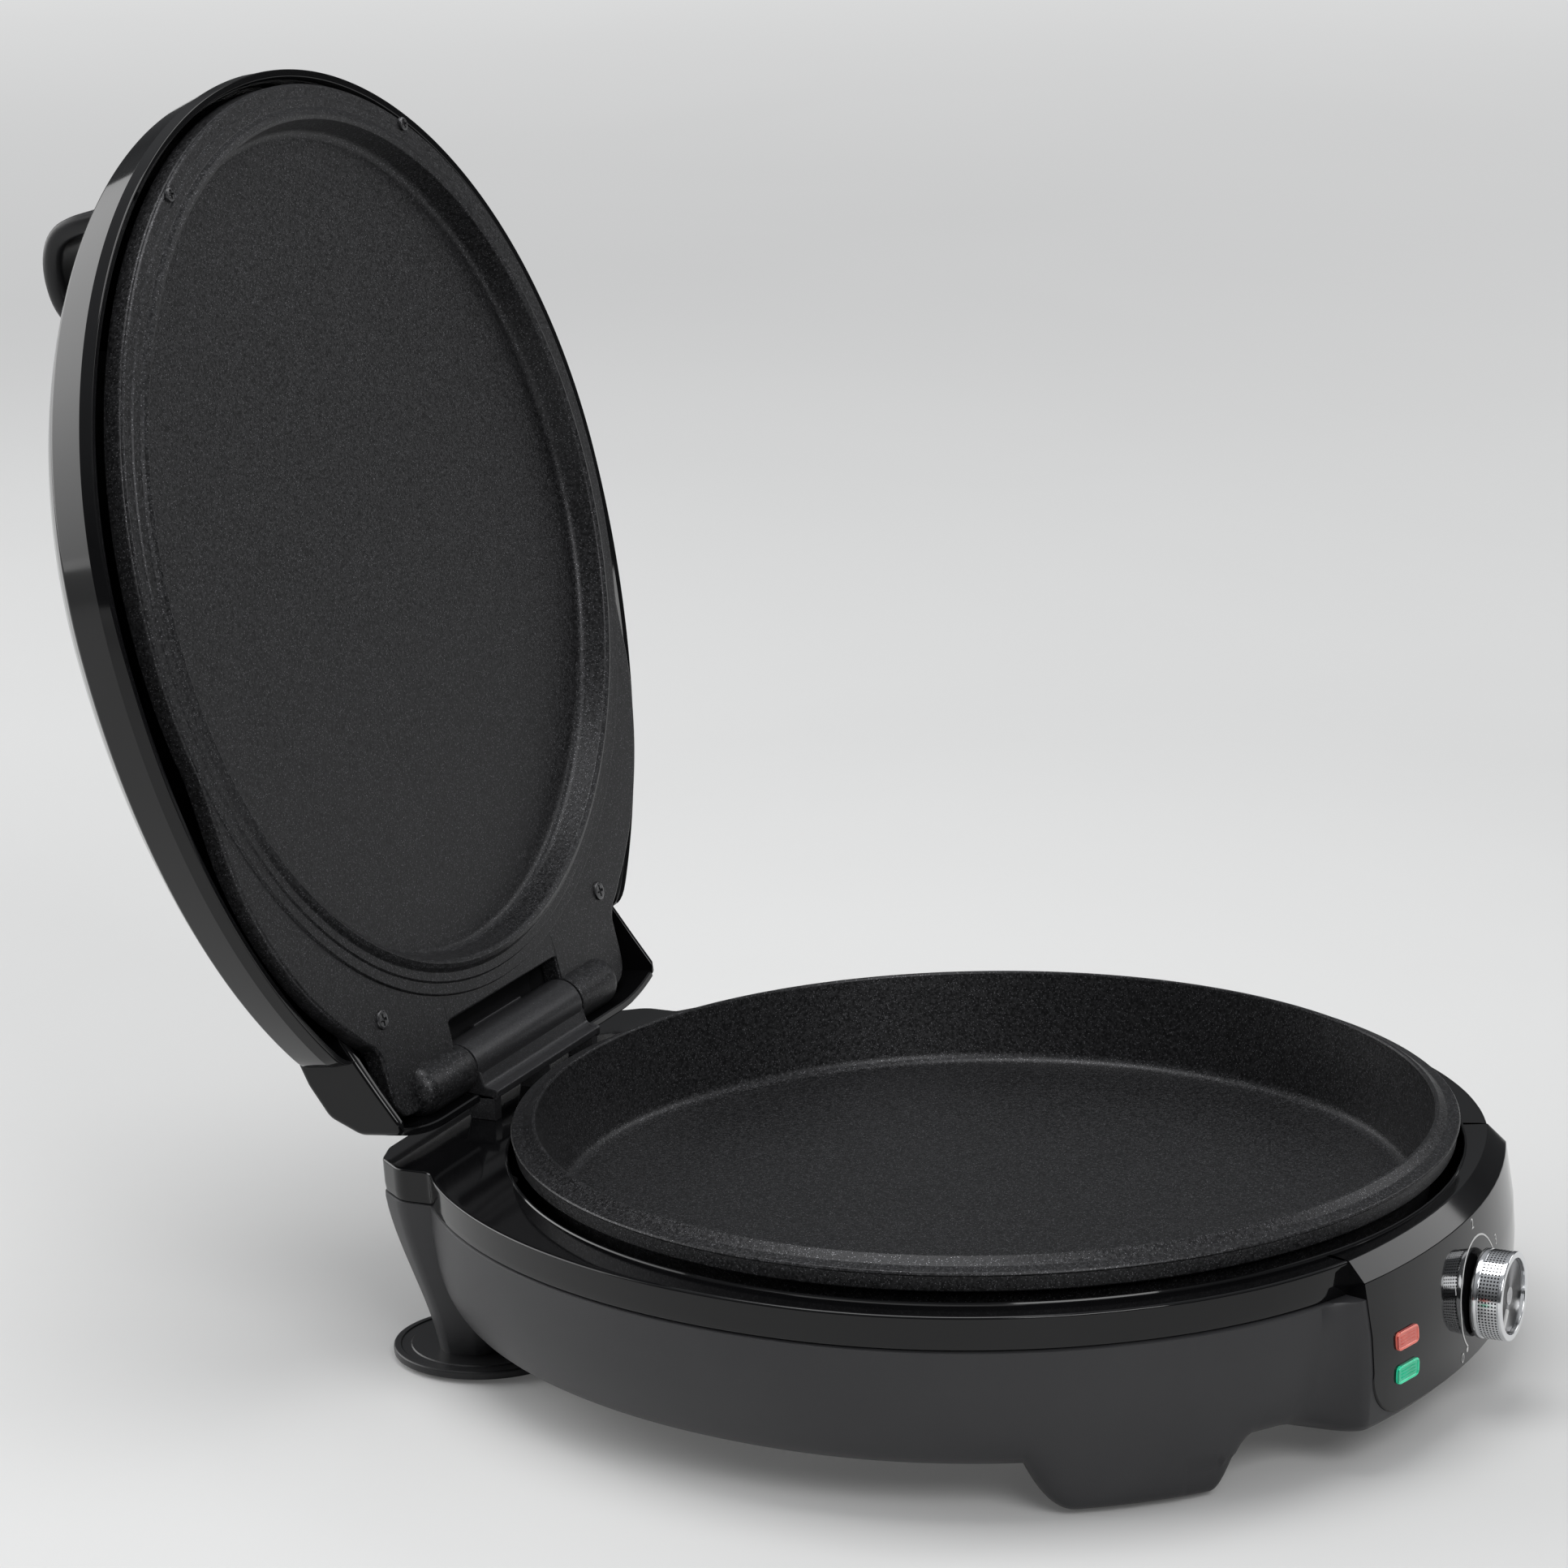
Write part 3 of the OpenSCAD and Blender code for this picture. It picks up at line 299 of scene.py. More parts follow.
# dark knob face; the wedge numbers set its painted highlight
spunPaintedHighlightLook = {
    "filmScale": 90.0, "grainScale": 4000.0, "dark": (0.018, 0.018, 0.019),
    "light": (0.03, 0.03, 0.031), "smooth": 0.3, "rough": 0.4, "bump": 0.1,
    "anisotropic": 0.6, "wedge": 68.0, "wedgePower": 5.0, "wedgeColour": (0.32, 0.32, 0.33),
}
elementLook = {
    "filmScale": 120.0, "grainScale": 2500.0, "dark": (0.16, 0.14, 0.13),
    "light": (0.34, 0.31, 0.28), "smooth": 0.35, "rough": 0.5, "bump": 0.2,
}
shieldLook = {
    "filmScale": 40.0, "grainScale": 1800.0, "dark": (0.62, 0.63, 0.64),
    "light": (0.74, 0.75, 0.76), "smooth": 0.25, "rough": 0.38, "bump": 0.15,
}
ceramicLook = {
    "specular": 0.5, "filmScale": 50.0, "grainScale": 1800.0,
    "dark": (0.6, 0.57, 0.5), "light": (0.68, 0.65, 0.58),
    "smooth": 0.32, "rough": 0.42, "bump": 0.1,
}
rubberLook = {
    "specular": 0.3, "filmScale": 60.0, "grainScale": 2200.0,
    "dark": (0.014, 0.014, 0.014), "light": (0.03, 0.03, 0.03),
    "smooth": 0.6, "rough": 0.75, "bump": 0.3,
}
markLook = {
    "specular": 0.4, "filmScale": 90.0, "grainScale": 3000.0,
    "dark": (0.68, 0.68, 0.67), "light": (0.78, 0.78, 0.77),
    "smooth": 0.4, "rough": 0.5, "bump": 0.05,
}
redLook = {
    "specular": 0.5, "coat": 0.4, "filmScale": 140.0, "grainScale": 900.0,
    "dark": (0.5, 0.09, 0.07), "light": (0.66, 0.17, 0.13), "glow": (0.1, 0.016, 0.012),
    "smooth": 0.14, "rough": 0.2, "bump": 0.05,
}
greenLook = {
    "specular": 0.5, "coat": 0.4, "filmScale": 140.0, "grainScale": 900.0,
    "dark": (0.0, 0.38, 0.19), "light": (0.0, 0.5, 0.27), "glow": (0.0, 0.1, 0.055),
    "smooth": 0.14, "rough": 0.2, "bump": 0.05,
}
bracketLook = {
    "metallic": 0.5, "specular": 0.4, "speckScale": 2600.0, "speckShare": 0.05,
    "grainScale": 1500.0, "dark": (0.03, 0.03, 0.032), "light": (0.05, 0.05, 0.053),
    "speck": (0.14, 0.14, 0.15), "smooth": 0.3, "rough": 0.4, "bump": 0.12,
}

coating = makeCoating("charcoalCoating", coatingLook)
bracketCoat = makeCoating("smoothBracketCoating", bracketLook)
gloss = makeMoulded("glossBlackShell", glossLook)
satin = makeMoulded("satinGreyHousing", satinLook)
matte = makeMoulded("blackHandlePlastic", matteLook)
steel = makeMetal("zincSteel", steelLook)
chrome = makeMetal("knobChrome", chromeLook)
spunPaintedHighlight = makeMetal("spunKnobFacePaintedHighlight", spunPaintedHighlightLook)
screwLook = {**steelLook, "dark": (0.1, 0.1, 0.103), "light": (0.17, 0.17, 0.175)}
screwSteel = makeMetal("darkScrewSteel", screwLook)
elementTube = makeMetal("heatTintedTube", elementLook)
shieldSheet = makeMetal("millSheet", shieldLook)
ceramic = makeMoulded("offWhiteMoulding", ceramicLook)
rubber = makeMoulded("footRubber", rubberLook)
markPaint = makeMoulded("whiteMark", markLook)
redGlass = makeMoulded("redLens", redLook)
greenGlass = makeMoulded("greenLens", greenLook)


# the same finish in another colour; these copies are painted highlight and painted shade
def shaded(name, look, dark, light):
    return makeMoulded(name, {**look, "dark": dark, "light": light})


# lighter lens rims are a painted highlight, darker lens sides a painted shade
redPaintedHighlight = shaded("redLensPaintedHighlight", redLook, (0.78, 0.16, 0.12), (0.86, 0.26, 0.2))
redPaintedShade = shaded("redLensPaintedShade", redLook, (0.2, 0.008, 0.008), (0.3, 0.015, 0.012))
greenPaintedHighlight = shaded("greenLensPaintedHighlight", greenLook, (0.02, 0.66, 0.34), (0.06, 0.8, 0.45))
greenPaintedShade = shaded("greenLensPaintedShade", greenLook, (0.0, 0.16, 0.08), (0.0, 0.22, 0.11))
# dark copy for the knurl pits: painted shade in the recesses
pitPaintedShade = shaded("knurlPitPaintedShade", matteLook, (0.02, 0.02, 0.021), (0.035, 0.035, 0.037))

nodeFinish = [
    (coating, "lower_pan lid_plate hinge_plug"),
    (bracketCoat, "hinge_bracket"),
    (gloss, "base_bezel lid_shell"),
    (satin, "base_housing"),
    (matte, "cord_disc_left cord_disc_right cord_inlet lid_handle handle_saddle"),
    (rubber, "foot_pads"),
    (chrome, "knob_sleeve"),
    (spunPaintedHighlight, "knob_face"),
    (markPaint, "knob_pointer"),
    (steel, "thermostat_shaft hinge_pin thermostat_bracket bottom_plate"),
    (steel, "lower_element_clamps lid_element_clamps handle_screws disc_screws"),
    (steel, "pan_screws bottom_screws lid_rim_screws lid_neck_screws"),
    (elementTube, "lower_element lid_element"),
    (shieldSheet, "lower_heat_shield lid_heat_shield"),
    (ceramic, "thermostat lamp_holder terminal_block thermal_fuse"),
    (redGlass, "red_lens"),
    (greenGlass, "green_lens"),
]


def dressNodes():
    count = 0
    for material, names in nodeFinish:
        for name in names.split():
            mesh = nodes[name].data
            mesh.materials.clear()
            mesh.materials.append(material)
            count += 1
    print("node finishes set:", count)


dressNodes()

originY = (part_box("hinge_pin")[0].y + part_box("hinge_pin")[1].y) / 2 / mm - place["hingeY"]
openTurn = math.radians(place["openAngle"])


# a point in mm about the pan's axis; lid points are given with the lid shut
def inScene(point, shut=False):
    x, y, z = point
    if shut:
        dy, dz = y - place["hingeY"], z - place["hingeZ"]
        y = place["hingeY"] + dy * math.cos(openTurn) + dz * math.sin(openTurn)
        z = place["hingeZ"] - dy * math.sin(openTurn) + dz * math.cos(openTurn)
    return Vector((x, y + originY, z)) * mm


# rounds the corners of a line; a point's third number is its corner radius
def softLine(points, steps=4, closed=False):
    line = []
    last = len(points) - 1
    for i, point in enumerate(points):
        here = Vector(point[:2])
        bend = point[2] if len(point) > 2 else 0
        if not bend or (not closed and i in (0, last)):
            line.append(tuple(here))
            continue
        before = Vector(points[i - 1][:2]) - here
        after = Vector(points[(i + 1) % len(points)][:2]) - here
        half = max(before.angle(after) / 2, 0.02)
        cut = min(bend / math.tan(half), before.length * 0.48, after.length * 0.48)
        start = here + before.normalized() * cut
        end = here + after.normalized() * cut
        for k in range(steps + 1):
            t = k / steps
            line.append(tuple(start * (1 - t) ** 2 + here * 2 * t * (1 - t) + end * t * t))
    return line


# smooth curve through points
def through(points, steps=6):
    line = []
    for i in range(len(points) - 1):
        a, b, c, d = (Vector(points[min(max(k, 0), len(points) - 1)]) for k in range(i - 1, i + 3))
        for k in range(steps):
            t = k / steps
            line.append(tuple(0.5 * (2 * b + (c - a) * t + (2 * a - 5 * b + 4 * c - d) * t * t
                                     + (3 * b - a - 3 * c + d) * t ** 3)))
    return line + [tuple(points[-1])]


def lookUp(table, value):
    for (a, fa), (b, fb) in zip(table, table[1:]):
        if value <= b:
            t = min(max((value - a) / (b - a), 0), 1)
            return fa + (fb - fa) * t
    return table[-1][1]


# moves a closed plan line inwards by a distance
def drawIn(line, inset):
    area = sum(a[0] * b[1] - b[0] * a[1] for a, b in zip(line, line[1:] + line[:1]))
    side = 1 if area > 0 else -1
    moved = []
    for i, here in enumerate(line):
        before, after = Vector(line[i - 1]), Vector(line[(i + 1) % len(line)])
        along = (after - before).normalized() if (after - before).length > 1e-6 else Vector((1, 0))
        moved.append((here[0] - along.y * inset * side, here[1] + along.x * inset * side))
    return moved


def atHeight(line, z):
    return [(x, y, z) for x, y in line]


def lofted(rings, wrap=False, caps=True):
    count = len(rings[0])
    points = [p for ring in rings for p in ring]
    faces = []
    for j in range(len(rings) if wrap else len(rings) - 1):
        low, high = j * count, (j + 1) % len(rings) * count
        for i in range(count):
            n = (i + 1) % count
            faces.append((low + i, low + n, high + n, high + i))
    if caps and not wrap:
        faces.append(tuple(range(count)))
        faces.append(tuple(reversed(range((len(rings) - 1) * count, len(rings) * count))))
    return points, faces


def fullTurn(steps):
    return [2 * math.pi * k / steps for k in range(steps)]


# a profile of radius and height, turned about an upright axis
def turned(profile, steps=256, centre=(0, 0), wrap=True):
    turns = fullTurn(steps)
    rings = [[(centre[0] + r * math.cos(a), centre[1] + r * math.sin(a), z) for a in turns]
             for r, z in profile]
    return lofted(rings, wrap, caps=not wrap)


# a profile of x and radius, turned about an axis along x
def turnedAcross(profile, y, z, steps=96):
    turns = fullTurn(steps)
    rings = [[(x, y + r * math.cos(a), z + r * math.sin(a)) for a in turns] for x, r in profile]
    return lofted(rings)


def addPiece(name, shape, material, body, replaced=(), shut=False, crease=40, even=True):
    points, faces = shape
    mesh = bpy.data.meshes.new(name)
    mesh.from_pydata([inScene(p, shut) for p in points], [], faces)
    work = bmesh.new()
    work.from_mesh(mesh)
    bmesh.ops.remove_doubles(work, verts=work.verts, dist=4e-6)
    bmesh.ops.dissolve_degenerate(work, edges=work.edges, dist=2e-6)
    bmesh.ops.recalc_face_normals(work, faces=work.faces)
    for face in work.faces:
        face.smooth = True
    work.to_mesh(mesh)
    work.free()
    mesh.set_sharp_from_angle(angle=math.radians(crease))
    piece = bpy.data.objects.new(name, mesh)
    scene.collection.objects.link(piece)
    mesh.materials.append(material)
    if even:
        level = piece.modifiers.new("evenShading", "WEIGHTED_NORMAL")
        level.keep_sharp = True
    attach(piece, body)
    if replaced:
        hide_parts(*replaced)
    return piece


# the cast pan: floor, wall, rim bead, sloping flange and hanging skirt
panLine = [
    (0, 52.6), (146.2, 52.6, 4.5), (152.15, 84.3, 0.6), (152.5, 85.0, 0.35), (153.5, 84.95, 0.7),
    (156.5, 82.6, 1.8), (160.3, 81.75, 0.7), (160.8, 80.9, 0.35), (160.15, 80.45, 0.3),
    (159.5, 75.1, 0.8), (157.2, 74.9, 0.4), (157.0, 78.9, 1.2), (154.8, 79.6, 1),
    (149.2, 51.6, 3), (146.2, 50.2, 2), (0, 50.2),
]


def addPan():
    inner = [(r, 52.6) for r in (0.01, 30, 60, 90, 120, 136)]
    line = inner + softLine(panLine)[1:-1] + [(140, 50.2), (0.01, 50.2)]
    addPiece("pizzaPan", turned(line, 320, wrap=False), coating, "base",
             ["lower_pan"])


# the gloss ring round the pan, with its sloping facet and drop-down fascia
bezel = {
    "topZ": 72.0, "seamZ": 60.6, "lipR": 161.7, "side": 173.9, "back": 196.5, "backY": 187.9,
    "facetZ": 65.7, "facetInnerR": 236.6, "facetOuterR": 242.9, "curveY": 70.0,
    "fasciaHalf": 75.0, "fasciaLow": 18.2, "fasciaCorner": 16.0, "facetCornerX": 73.2,
}
frontCurve = [(10, 244.6), (20, 245.5), (36, 246.0), (48, 245.4), (65.7, 242.9)]
bezelFront = [(115.2, 171.4), (120, 172.2), (127, 173.0), (135, 173.5), (150, 173.8), (180, 173.9)]


def curvedY(x, radius):
    return bezel["curveY"] - math.sqrt(radius * radius - x * x)


# left half of the base in plan, from the fascia's corner round to the middle of the back
def basePlan():
    line = []
    for k in range(65):
        turn = bezelFront[0][0] + k
        r = lookUp(bezelFront, turn)
        line.append((r * math.cos(math.radians(turn)), -r * math.sin(math.radians(turn))))
    for k in range(1, 54):
        t = math.radians(k)
        line.append((-bezel["side"] * math.cos(t), bezel["back"] * math.sin(t)))
    rear = [line[-1], (-97.0, 162.4, 3.0), (-97.2, 174.5, 9.0), (-89.0, 184.5, 8.0),
            (-78.0, bezel["backY"], 9.0), (-50, bezel["backY"]), (0, bezel["backY"])]
    return line + softLine(rear, 6)[1:]


# one column of the bezel's skin, from the opening's lip out and down to the seam
def bezelColumn(x, y, zoneX=None):
    turn = math.atan2(y, x)
    lip, top, seam = bezel["lipR"], bezel["topZ"], bezel["seamZ"]
    rows = [(lip, top - 6), (lip, top + 0.2), (lip + 0.15, top + 0.5), (lip + 0.5, top + 0.7),
            (lip + 0.9, top + 0.5), (lip + 1.15, top + 0.05), (lip + 1.4, top)]
    column = [(r * math.cos(turn), r * math.sin(turn), z) for r, z in rows]
    if zoneX is None:
        out = math.hypot(x, y)
        edge = softLine([(out - 2.5, top), (out, top, 1.1), (out - 0.4, seam + 3)], 5)
        low = softLine([(out - 0.4, seam + 3), (out - 0.9, seam, 0.6), (out - 3.4, seam)], 3)
        ends = edge + [edge[-1]] * (17 - len(edge) - len(low)) + low
        return column + [(r * math.cos(turn), r * math.sin(turn), z) for r, z in ends]
    corner = bezel["fasciaCorner"]
    past = max(abs(zoneX) - (bezel["fasciaHalf"] - corner), 0)
    lowZ = bezel["fasciaLow"] + corner - math.sqrt(max(corner ** 2 - past ** 2, 0))
    inX = zoneX * bezel["facetCornerX"] / bezel["fasciaHalf"]
    inR, outR, facetZ = bezel["facetInnerR"], bezel["facetOuterR"], bezel["facetZ"]
    upper = softLine([(inR - 2.5, top), (inR, top, 0.8), (outR, facetZ)], 4)[:-1]
    lower = softLine([(inR, top), (outR, facetZ, 0.9), (245.4, 48)], 4)[1:]
    column += [(inX, curvedY(inX, r), z) for r, z in upper]
    column += [(zoneX, curvedY(zoneX, r), z) for r, z in lower]
    for z in (max(36, lowZ + 0.8), lowZ + 0.6):
        column.append((zoneX, curvedY(zoneX, lookUp(frontCurve, z)), z))
    for back, z in ((0.25, lowZ + 0.15), (0.7, lowZ), (3.4, lowZ)):
        column.append((zoneX, curvedY(zoneX, lookUp(frontCurve, z) - back), z))
    return column


def addBezel():
    left = basePlan()
    columns = [bezelColumn(x, y) for x, y in left]
    columns += [bezelColumn(-x, y) for x, y in reversed(left[:-1])]
    half = bezel["fasciaHalf"]
    low = half - bezel["fasciaCorner"]
    spans = [half * 1.0, half - 0.15, half - 0.5, half - 1.1, half - 2, half - 3.2, half - 4.8,
             half - 7, half - 9.5, half - 12.5, low, 50, 40, 30, 20, 10]
    for x in spans + [0] + [-v for v in reversed(spans)]:
        columns.append(bezelColumn(x, curvedY(x, bezel["facetInnerR"]), x))
    rings = [[column[k] for column in columns] for k in range(len(columns[0]))]
    addPiece("glossBezel", lofted(rings, wrap=True), gloss, "base",
             ["base_bezel"], crease=32)


# the satin bowl under the bezel, with the boss that carries the fascia
housing = {
    "side": 173.1, "back": 195.8, "backY": 187.3, "bossHalf": 76.9, "bossRound": 7.0,
    "valley": 17.0, "wall": 2.5, "lipR": 118.2, "sunk": 0.45,
}
bowlLine = [(60.3, 1.1), (59.4, 0.1), (50, 0.5), (38, 2.2), (28.5, 4.8), (21.7, 8.4), (18.0, 13),
            (16.3, 18), (15.2, 24), (14.0, 34), (13.2, 46)]
lugLine = [(60.3, 1.1), (59.4, 0.1), (50, 0.5), (38, 2.2), (28.5, 4.6), (18, 6.3), (8, 7.4),
           (3.2, 9.2), (1.5, 14.5), (1.5, 31), (13.2, 46)]
lugTurns = {"start": 206.4, "full": 212.4, "end": 228.0, "out": 234.2}
bossCurve = [(13, 226), (13.2, 232), (13.6, 238), (14.4, 240.5), (15.7, 242.6), (17.5, 244.3),
             (20, 245.1), (36, 246.0), (48, 245.4), (60.4, 243.7)]


def joinOut(a, b, blend):
    near = max(blend - abs(a - b), 0) / blend
    return max(a, b) + near * near * blend / 4


def joinIn(a, b, blend):
    return -joinOut(-a, -b, blend)


def housingRadius(turn, z, inset, boss=True):
    c, s = math.cos(turn), math.sin(turn)
    a, b = housing["side"] - inset, (housing["back"] if s > 0 else housing["side"]) - inset
    r = 1 / math.sqrt((c / a) ** 2 + (s / b) ** 2)
    if s > 0.3:
        r = joinIn(r, (housing["backY"] - inset) / s, 5)
    if boss and s < -0.7:
        corner = housing["bossRound"]
        low = min(max(20 - z, 0), corner)
        half = housing["bossHalf"] - corner + math.sqrt(corner ** 2 - low ** 2)
        radius = lookUp(bossCurve, z) - housing["sunk"]
        arc = bezel["curveY"] * s + math.sqrt(radius ** 2 - (bezel["curveY"] * c) ** 2)
        side = min(half / max(abs(c), 0.01), 400)
        r = joinIn(joinOut(r, side, housing["valley"]), max(arc, r), 3 + low)
    return r


# how far a turn lies inside a front lug, from 0 on the plain bowl to 1
def lugShare(degrees):
    turn = degrees if degrees <= 270 else 540 - degrees
    rise = (turn - lugTurns["start"]) / (lugTurns["full"] - lugTurns["start"])
    fall = (lugTurns["out"] - turn) / (lugTurns["out"] - lugTurns["end"])
    rise, fall = min(max(rise, 0), 1), min(max(fall, 0), 1)
    return (1 - (1 - rise) ** 2.2) * fall * fall * (3 - 2 * fall)


def addHousing():
    degrees = [k * 0.75 for k in range(264)]
    degrees += [198 + k * 0.35 for k in range(120)] + [240 + k * 0.2 for k in range(60)]
    degrees += [252 + k * 0.75 for k in range(48)] + [288 + k * 0.2 for k in range(60)]
    degrees += [300 + k * 0.35 for k in range(120)] + [342 + k * 0.75 for k in range(24)]
    turns = [math.radians(d) for d in degrees]

    def ring(z, inset, boss=True):
        return [(housingRadius(a, z, inset, boss) * math.cos(a),
                 housingRadius(a, z, inset, boss) * math.sin(a), z) for a in turns]

    def skin(line):
        curve = through([(-z, inset) for z, inset in line[2:]], 4)
        return line[:2] + [(-z, inset) for z, inset in curve]

    rings = []
    for (bowlZ, bowlIn), (lugZ, lugIn) in zip(skin(bowlLine), skin(lugLine)):
        rings.append([])
        for d, a in zip(degrees, turns):
            share = lugShare(d)
            z = bowlZ + (lugZ - bowlZ) * share
            r = housingRadius(a, z, bowlIn + (lugIn - bowlIn) * share)
            rings[-1].append((r * math.cos(a), r * math.sin(a), z))
    for z in (13.0, 15.4):
        rings.append([(housing["lipR"] * math.cos(a), housing["lipR"] * math.sin(a), z)
                      for a in turns])
    rings += [ring(z, lookUp([(16, 16), (27, 5), (60.3, 0.6)], z) + housing["wall"], False)
              for z in (17.5, 23, 30, 45, 60.3)]
    addPiece("satinHousing", lofted(rings, wrap=True), satin, "base",
             ["base_housing"], crease=50, even=False)


# rear legs lean in from the base's back corners to the winding discs
leg = {
    "foot": (-79.0, 158.0), "footR": 11.0, "topZ": 60.2, "footZ": 4.4,
    "centre": (-77.5, 166), "steps": 14,
    "plan": [(-96.6, 146, 8), (-96.6, 174.2, 9), (-88.6, 184.2, 8), (-77.8, 187.3, 8),
             (-58, 187.3, 8), (-58, 146, 8)],
}


def addLegs():
    for side, name in ((1, "legLeft"), (-1, "legRight")):
        top = softLine(leg["plan"], 7, True)
        centre = Vector(leg["centre"])
        foot = []
        for x, y in top:
            turn = math.atan2(y - centre.y, x - centre.x)
            foot.append((leg["foot"][0] + leg["footR"] * math.cos(turn),
                         leg["foot"][1] + leg["footR"] * math.sin(turn)))
        rings = [[(side * x, y, z) for x, y in drawIn(top, inset)]
                 for z, inset in ((leg["topZ"], 0.5), (leg["topZ"] - 0.4, 0))]
        span = leg["topZ"] - 2 - leg["footZ"]
        for k in range(leg["steps"] + 1):
            down = k / leg["steps"]
            t = down * (0.5 + down * (1.5 - down))
            z = leg["topZ"] - 2 - span * down
            rings.append([(side * (a[0] + (b[0] - a[0]) * t), a[1] + (b[1] - a[1]) * t, z)
                          for a, b in zip(top, foot)])
        addPiece(name, lofted(rings), satin, "base", crease=50, even=False)


disc = {"x": 72.0, "y": 156.0, "steps": 160}


def addDiscs():
    line = softLine([(3.6, 1.5), (31.9, 1.5, 0.8), (31.9, 4.5, 0.9), (29.5, 4.5), (29.1, 4.1, 0.3),
                     (26, 4.1, 0.3), (25.6, 4.5), (3.6, 4.5)], 4)
    for side, name in ((-1, "left"), (1, "right")):
        shape = turned(line, disc["steps"], (side * disc["x"], disc["y"]))
        addPiece("windingDisc" + name.title(), shape, matte, "base",
                 ["cord_disc_" + name])


# a side outline of y and z, drawn along x with softened ends
def acrossLoft(section, x0, x1, edge=0.6):
    stops = [(x0, edge), (x0 + edge * 0.3, edge * 0.3), (x0 + edge, 0),
             (x1 - edge, 0), (x1 - edge * 0.3, edge * 0.3), (x1, edge)]
    rings = []
    for x, inset in stops:
        line = drawIn(section, inset) if inset else section
        rings.append([(x, y, z) for y, z in line])
    return lofted(rings)


# cast lid plate: recess, bead, land and the small step at the disc's edge
discLine = [
    (139, 94.5), (144.7, 94.5, 3.6), (147.3, 84.9, 1.2), (148.8, 83.9, 0.7), (150.5, 84.6, 1.0),
    (151.8, 85.6, 1.0), (154.9, 85.7, 0.3), (155.5, 86.3, 0.35), (159.4, 86.35, 0.5),
    (159.8, 87.2, 0.3), (159.8, 89.5), (154, 90.5), (147, 92.5), (143, 97.1, 3), (138, 97.1),
]
lidSheet = {
    "faceZ": 87.2, "skirtZ": 94.0, "wall": 2.6, "frontR": 160.3, "holeR": 156.0,
    "blendX": 150, "blendWidth": 50,
    "edge": [(152.7, 48.8), (150.9, 63.8), (149.3, 77.8), (145.8, 90.9), (140.6, 104),
             (134.2, 115.8), (126.8, 126.6), (118, 136.8), (108.2, 146)],
    "neck": [(101, 151.6, 2), (96.4, 155.4, 2), (91.4, 158.6, 3), (89, 162.5, 3), (88.8, 185.8, 14),
             (41.2, 185.8, 1), (41.2, 163.7, 1.6), (0, 163.7)],
}


# dark trough over the slot, clear of the barrel
slotWell = {"line": [(162.4, 89.0), (162.4, 98.5, 6), (172, 102.2, 8), (184, 102.0, 6),
                     (189.4, 96.5, 3), (189.6, 92.6)]}


def lidSheetPlan():
    half = []
    for k in range(-90, 16, 2):
        a = math.radians(k)
        half.append((lidSheet["frontR"] * math.cos(a), lidSheet["frontR"] * math.sin(a)))
    half = half[:-1] + through([half[-1]] + lidSheet["edge"], 4)
    half += softLine([half[-1]] + lidSheet["neck"], 5)[1:]
    left = [(-x, y) for x, y in reversed(half[1:-1])]
    return half + left


def addLidPlate():
    inner = [(r, 94.5) for r in (0.01, 30, 60, 90, 115, 130)]
    line = inner + softLine(discLine)[:-1] + [(120, 97.1), (0.01, 97.1)]
    addPiece("lidPlateDisc", turned(line, 320, wrap=False), coating, "lid",
             ["lid_plate"], shut=True)
    plan = lidSheetPlan()
    face, skirt, wall = lidSheet["faceZ"], lidSheet["skirtZ"], lidSheet["wall"]
    hole = []
    for x, y in plan:
        turn = math.atan2(y, x)
        if y > 0:
            share = min(max((lidSheet["blendX"] - abs(x)) / lidSheet["blendWidth"], 0), 1)
            share = share * share * (3 - 2 * share)
            upright = math.acos(min(max(x / lidSheet["holeR"], -1), 1))
            turn += (upright - turn) * share
        hole.append((lidSheet["holeR"] * math.cos(turn), lidSheet["holeR"] * math.sin(turn)))
    levels = [(face + wall, wall), (skirt, wall), (skirt, 0.5), (skirt - 0.2, 0.12),
              (skirt - 0.6, 0), (face + 1.1, 0), (face + 0.55, 0.15), (face + 0.2, 0.45),
              (face, 1.1)]
    rings = [atHeight(drawIn(plan, inset) if inset else plan, z) for z, inset in levels]
    rings += [atHeight(hole, face), atHeight(hole, face + wall)]
    addPiece("lidPlateSheet", lofted(rings, wrap=True), coating, "lid", shut=True,
             crease=45)
    dome = [(41.2, 3.4), (41.2, 8.5), (41.45, 8.9), (41.9, 9.0), (55, 9.0), (66.9, 9.0),
            (68.4, 8.85), (69.8, 8.4), (71.2, 7.5), (72.4, 6.0), (73.3, 4.0), (73.75, 2.0),
            (73.85, 0.02)]
    for side, name in ((-1, "Left"), (1, "Right")):
        shape = turnedAcross([(side * x, r) for x, r in dome], place["hingeY"], place["hingeZ"])
        addPiece("lidKnuckle" + name, shape, coating, "lid", shut=True)
    well = softLine(slotWell["line"], 5)
    arch = well + [(y - 0.6 * (y - 176) / 14, z - 0.9) for y, z in reversed(well)]
    addPiece("slotWell", acrossLoft(arch, -43, 43, 0.2), matte, "lid", shut=True)
    for side, name in ((-1, "Left"), (1, "Right")):
        shape = acrossLoft(well, side * 42.8 - 0.5, side * 42.8 + 0.5, 0.15)
        addPiece("slotWellEnd" + name, shape, matte, "lid", shut=True)
    rail = softLine([(171.0, 91.6, 0.4), (171.0, 93.6, 0.4), (172.2, 93.6, 0.4),
                     (172.2, 91.6, 0.4)], 3, True)
    addPiece("slotRail", acrossLoft(rail, -18, 18, 0.3), bracketCoat, "lid",
             shut=True)


# gloss shell of the lid: low edge, crease, side band, shoulder and shallow dome
shellLook = {"side": 171.5, "back": 205.0, "frontShare": 0.968, "backShare": 1.15}
domeLine = [(28, 141.2), (75, 136.8), (115, 130.4), (134, 127.2), (149, 123.2), (158.4, 117.6)]
shellCut = [(93, 160), (115.4, 160), (137.4, 110), (144.4, 80)]


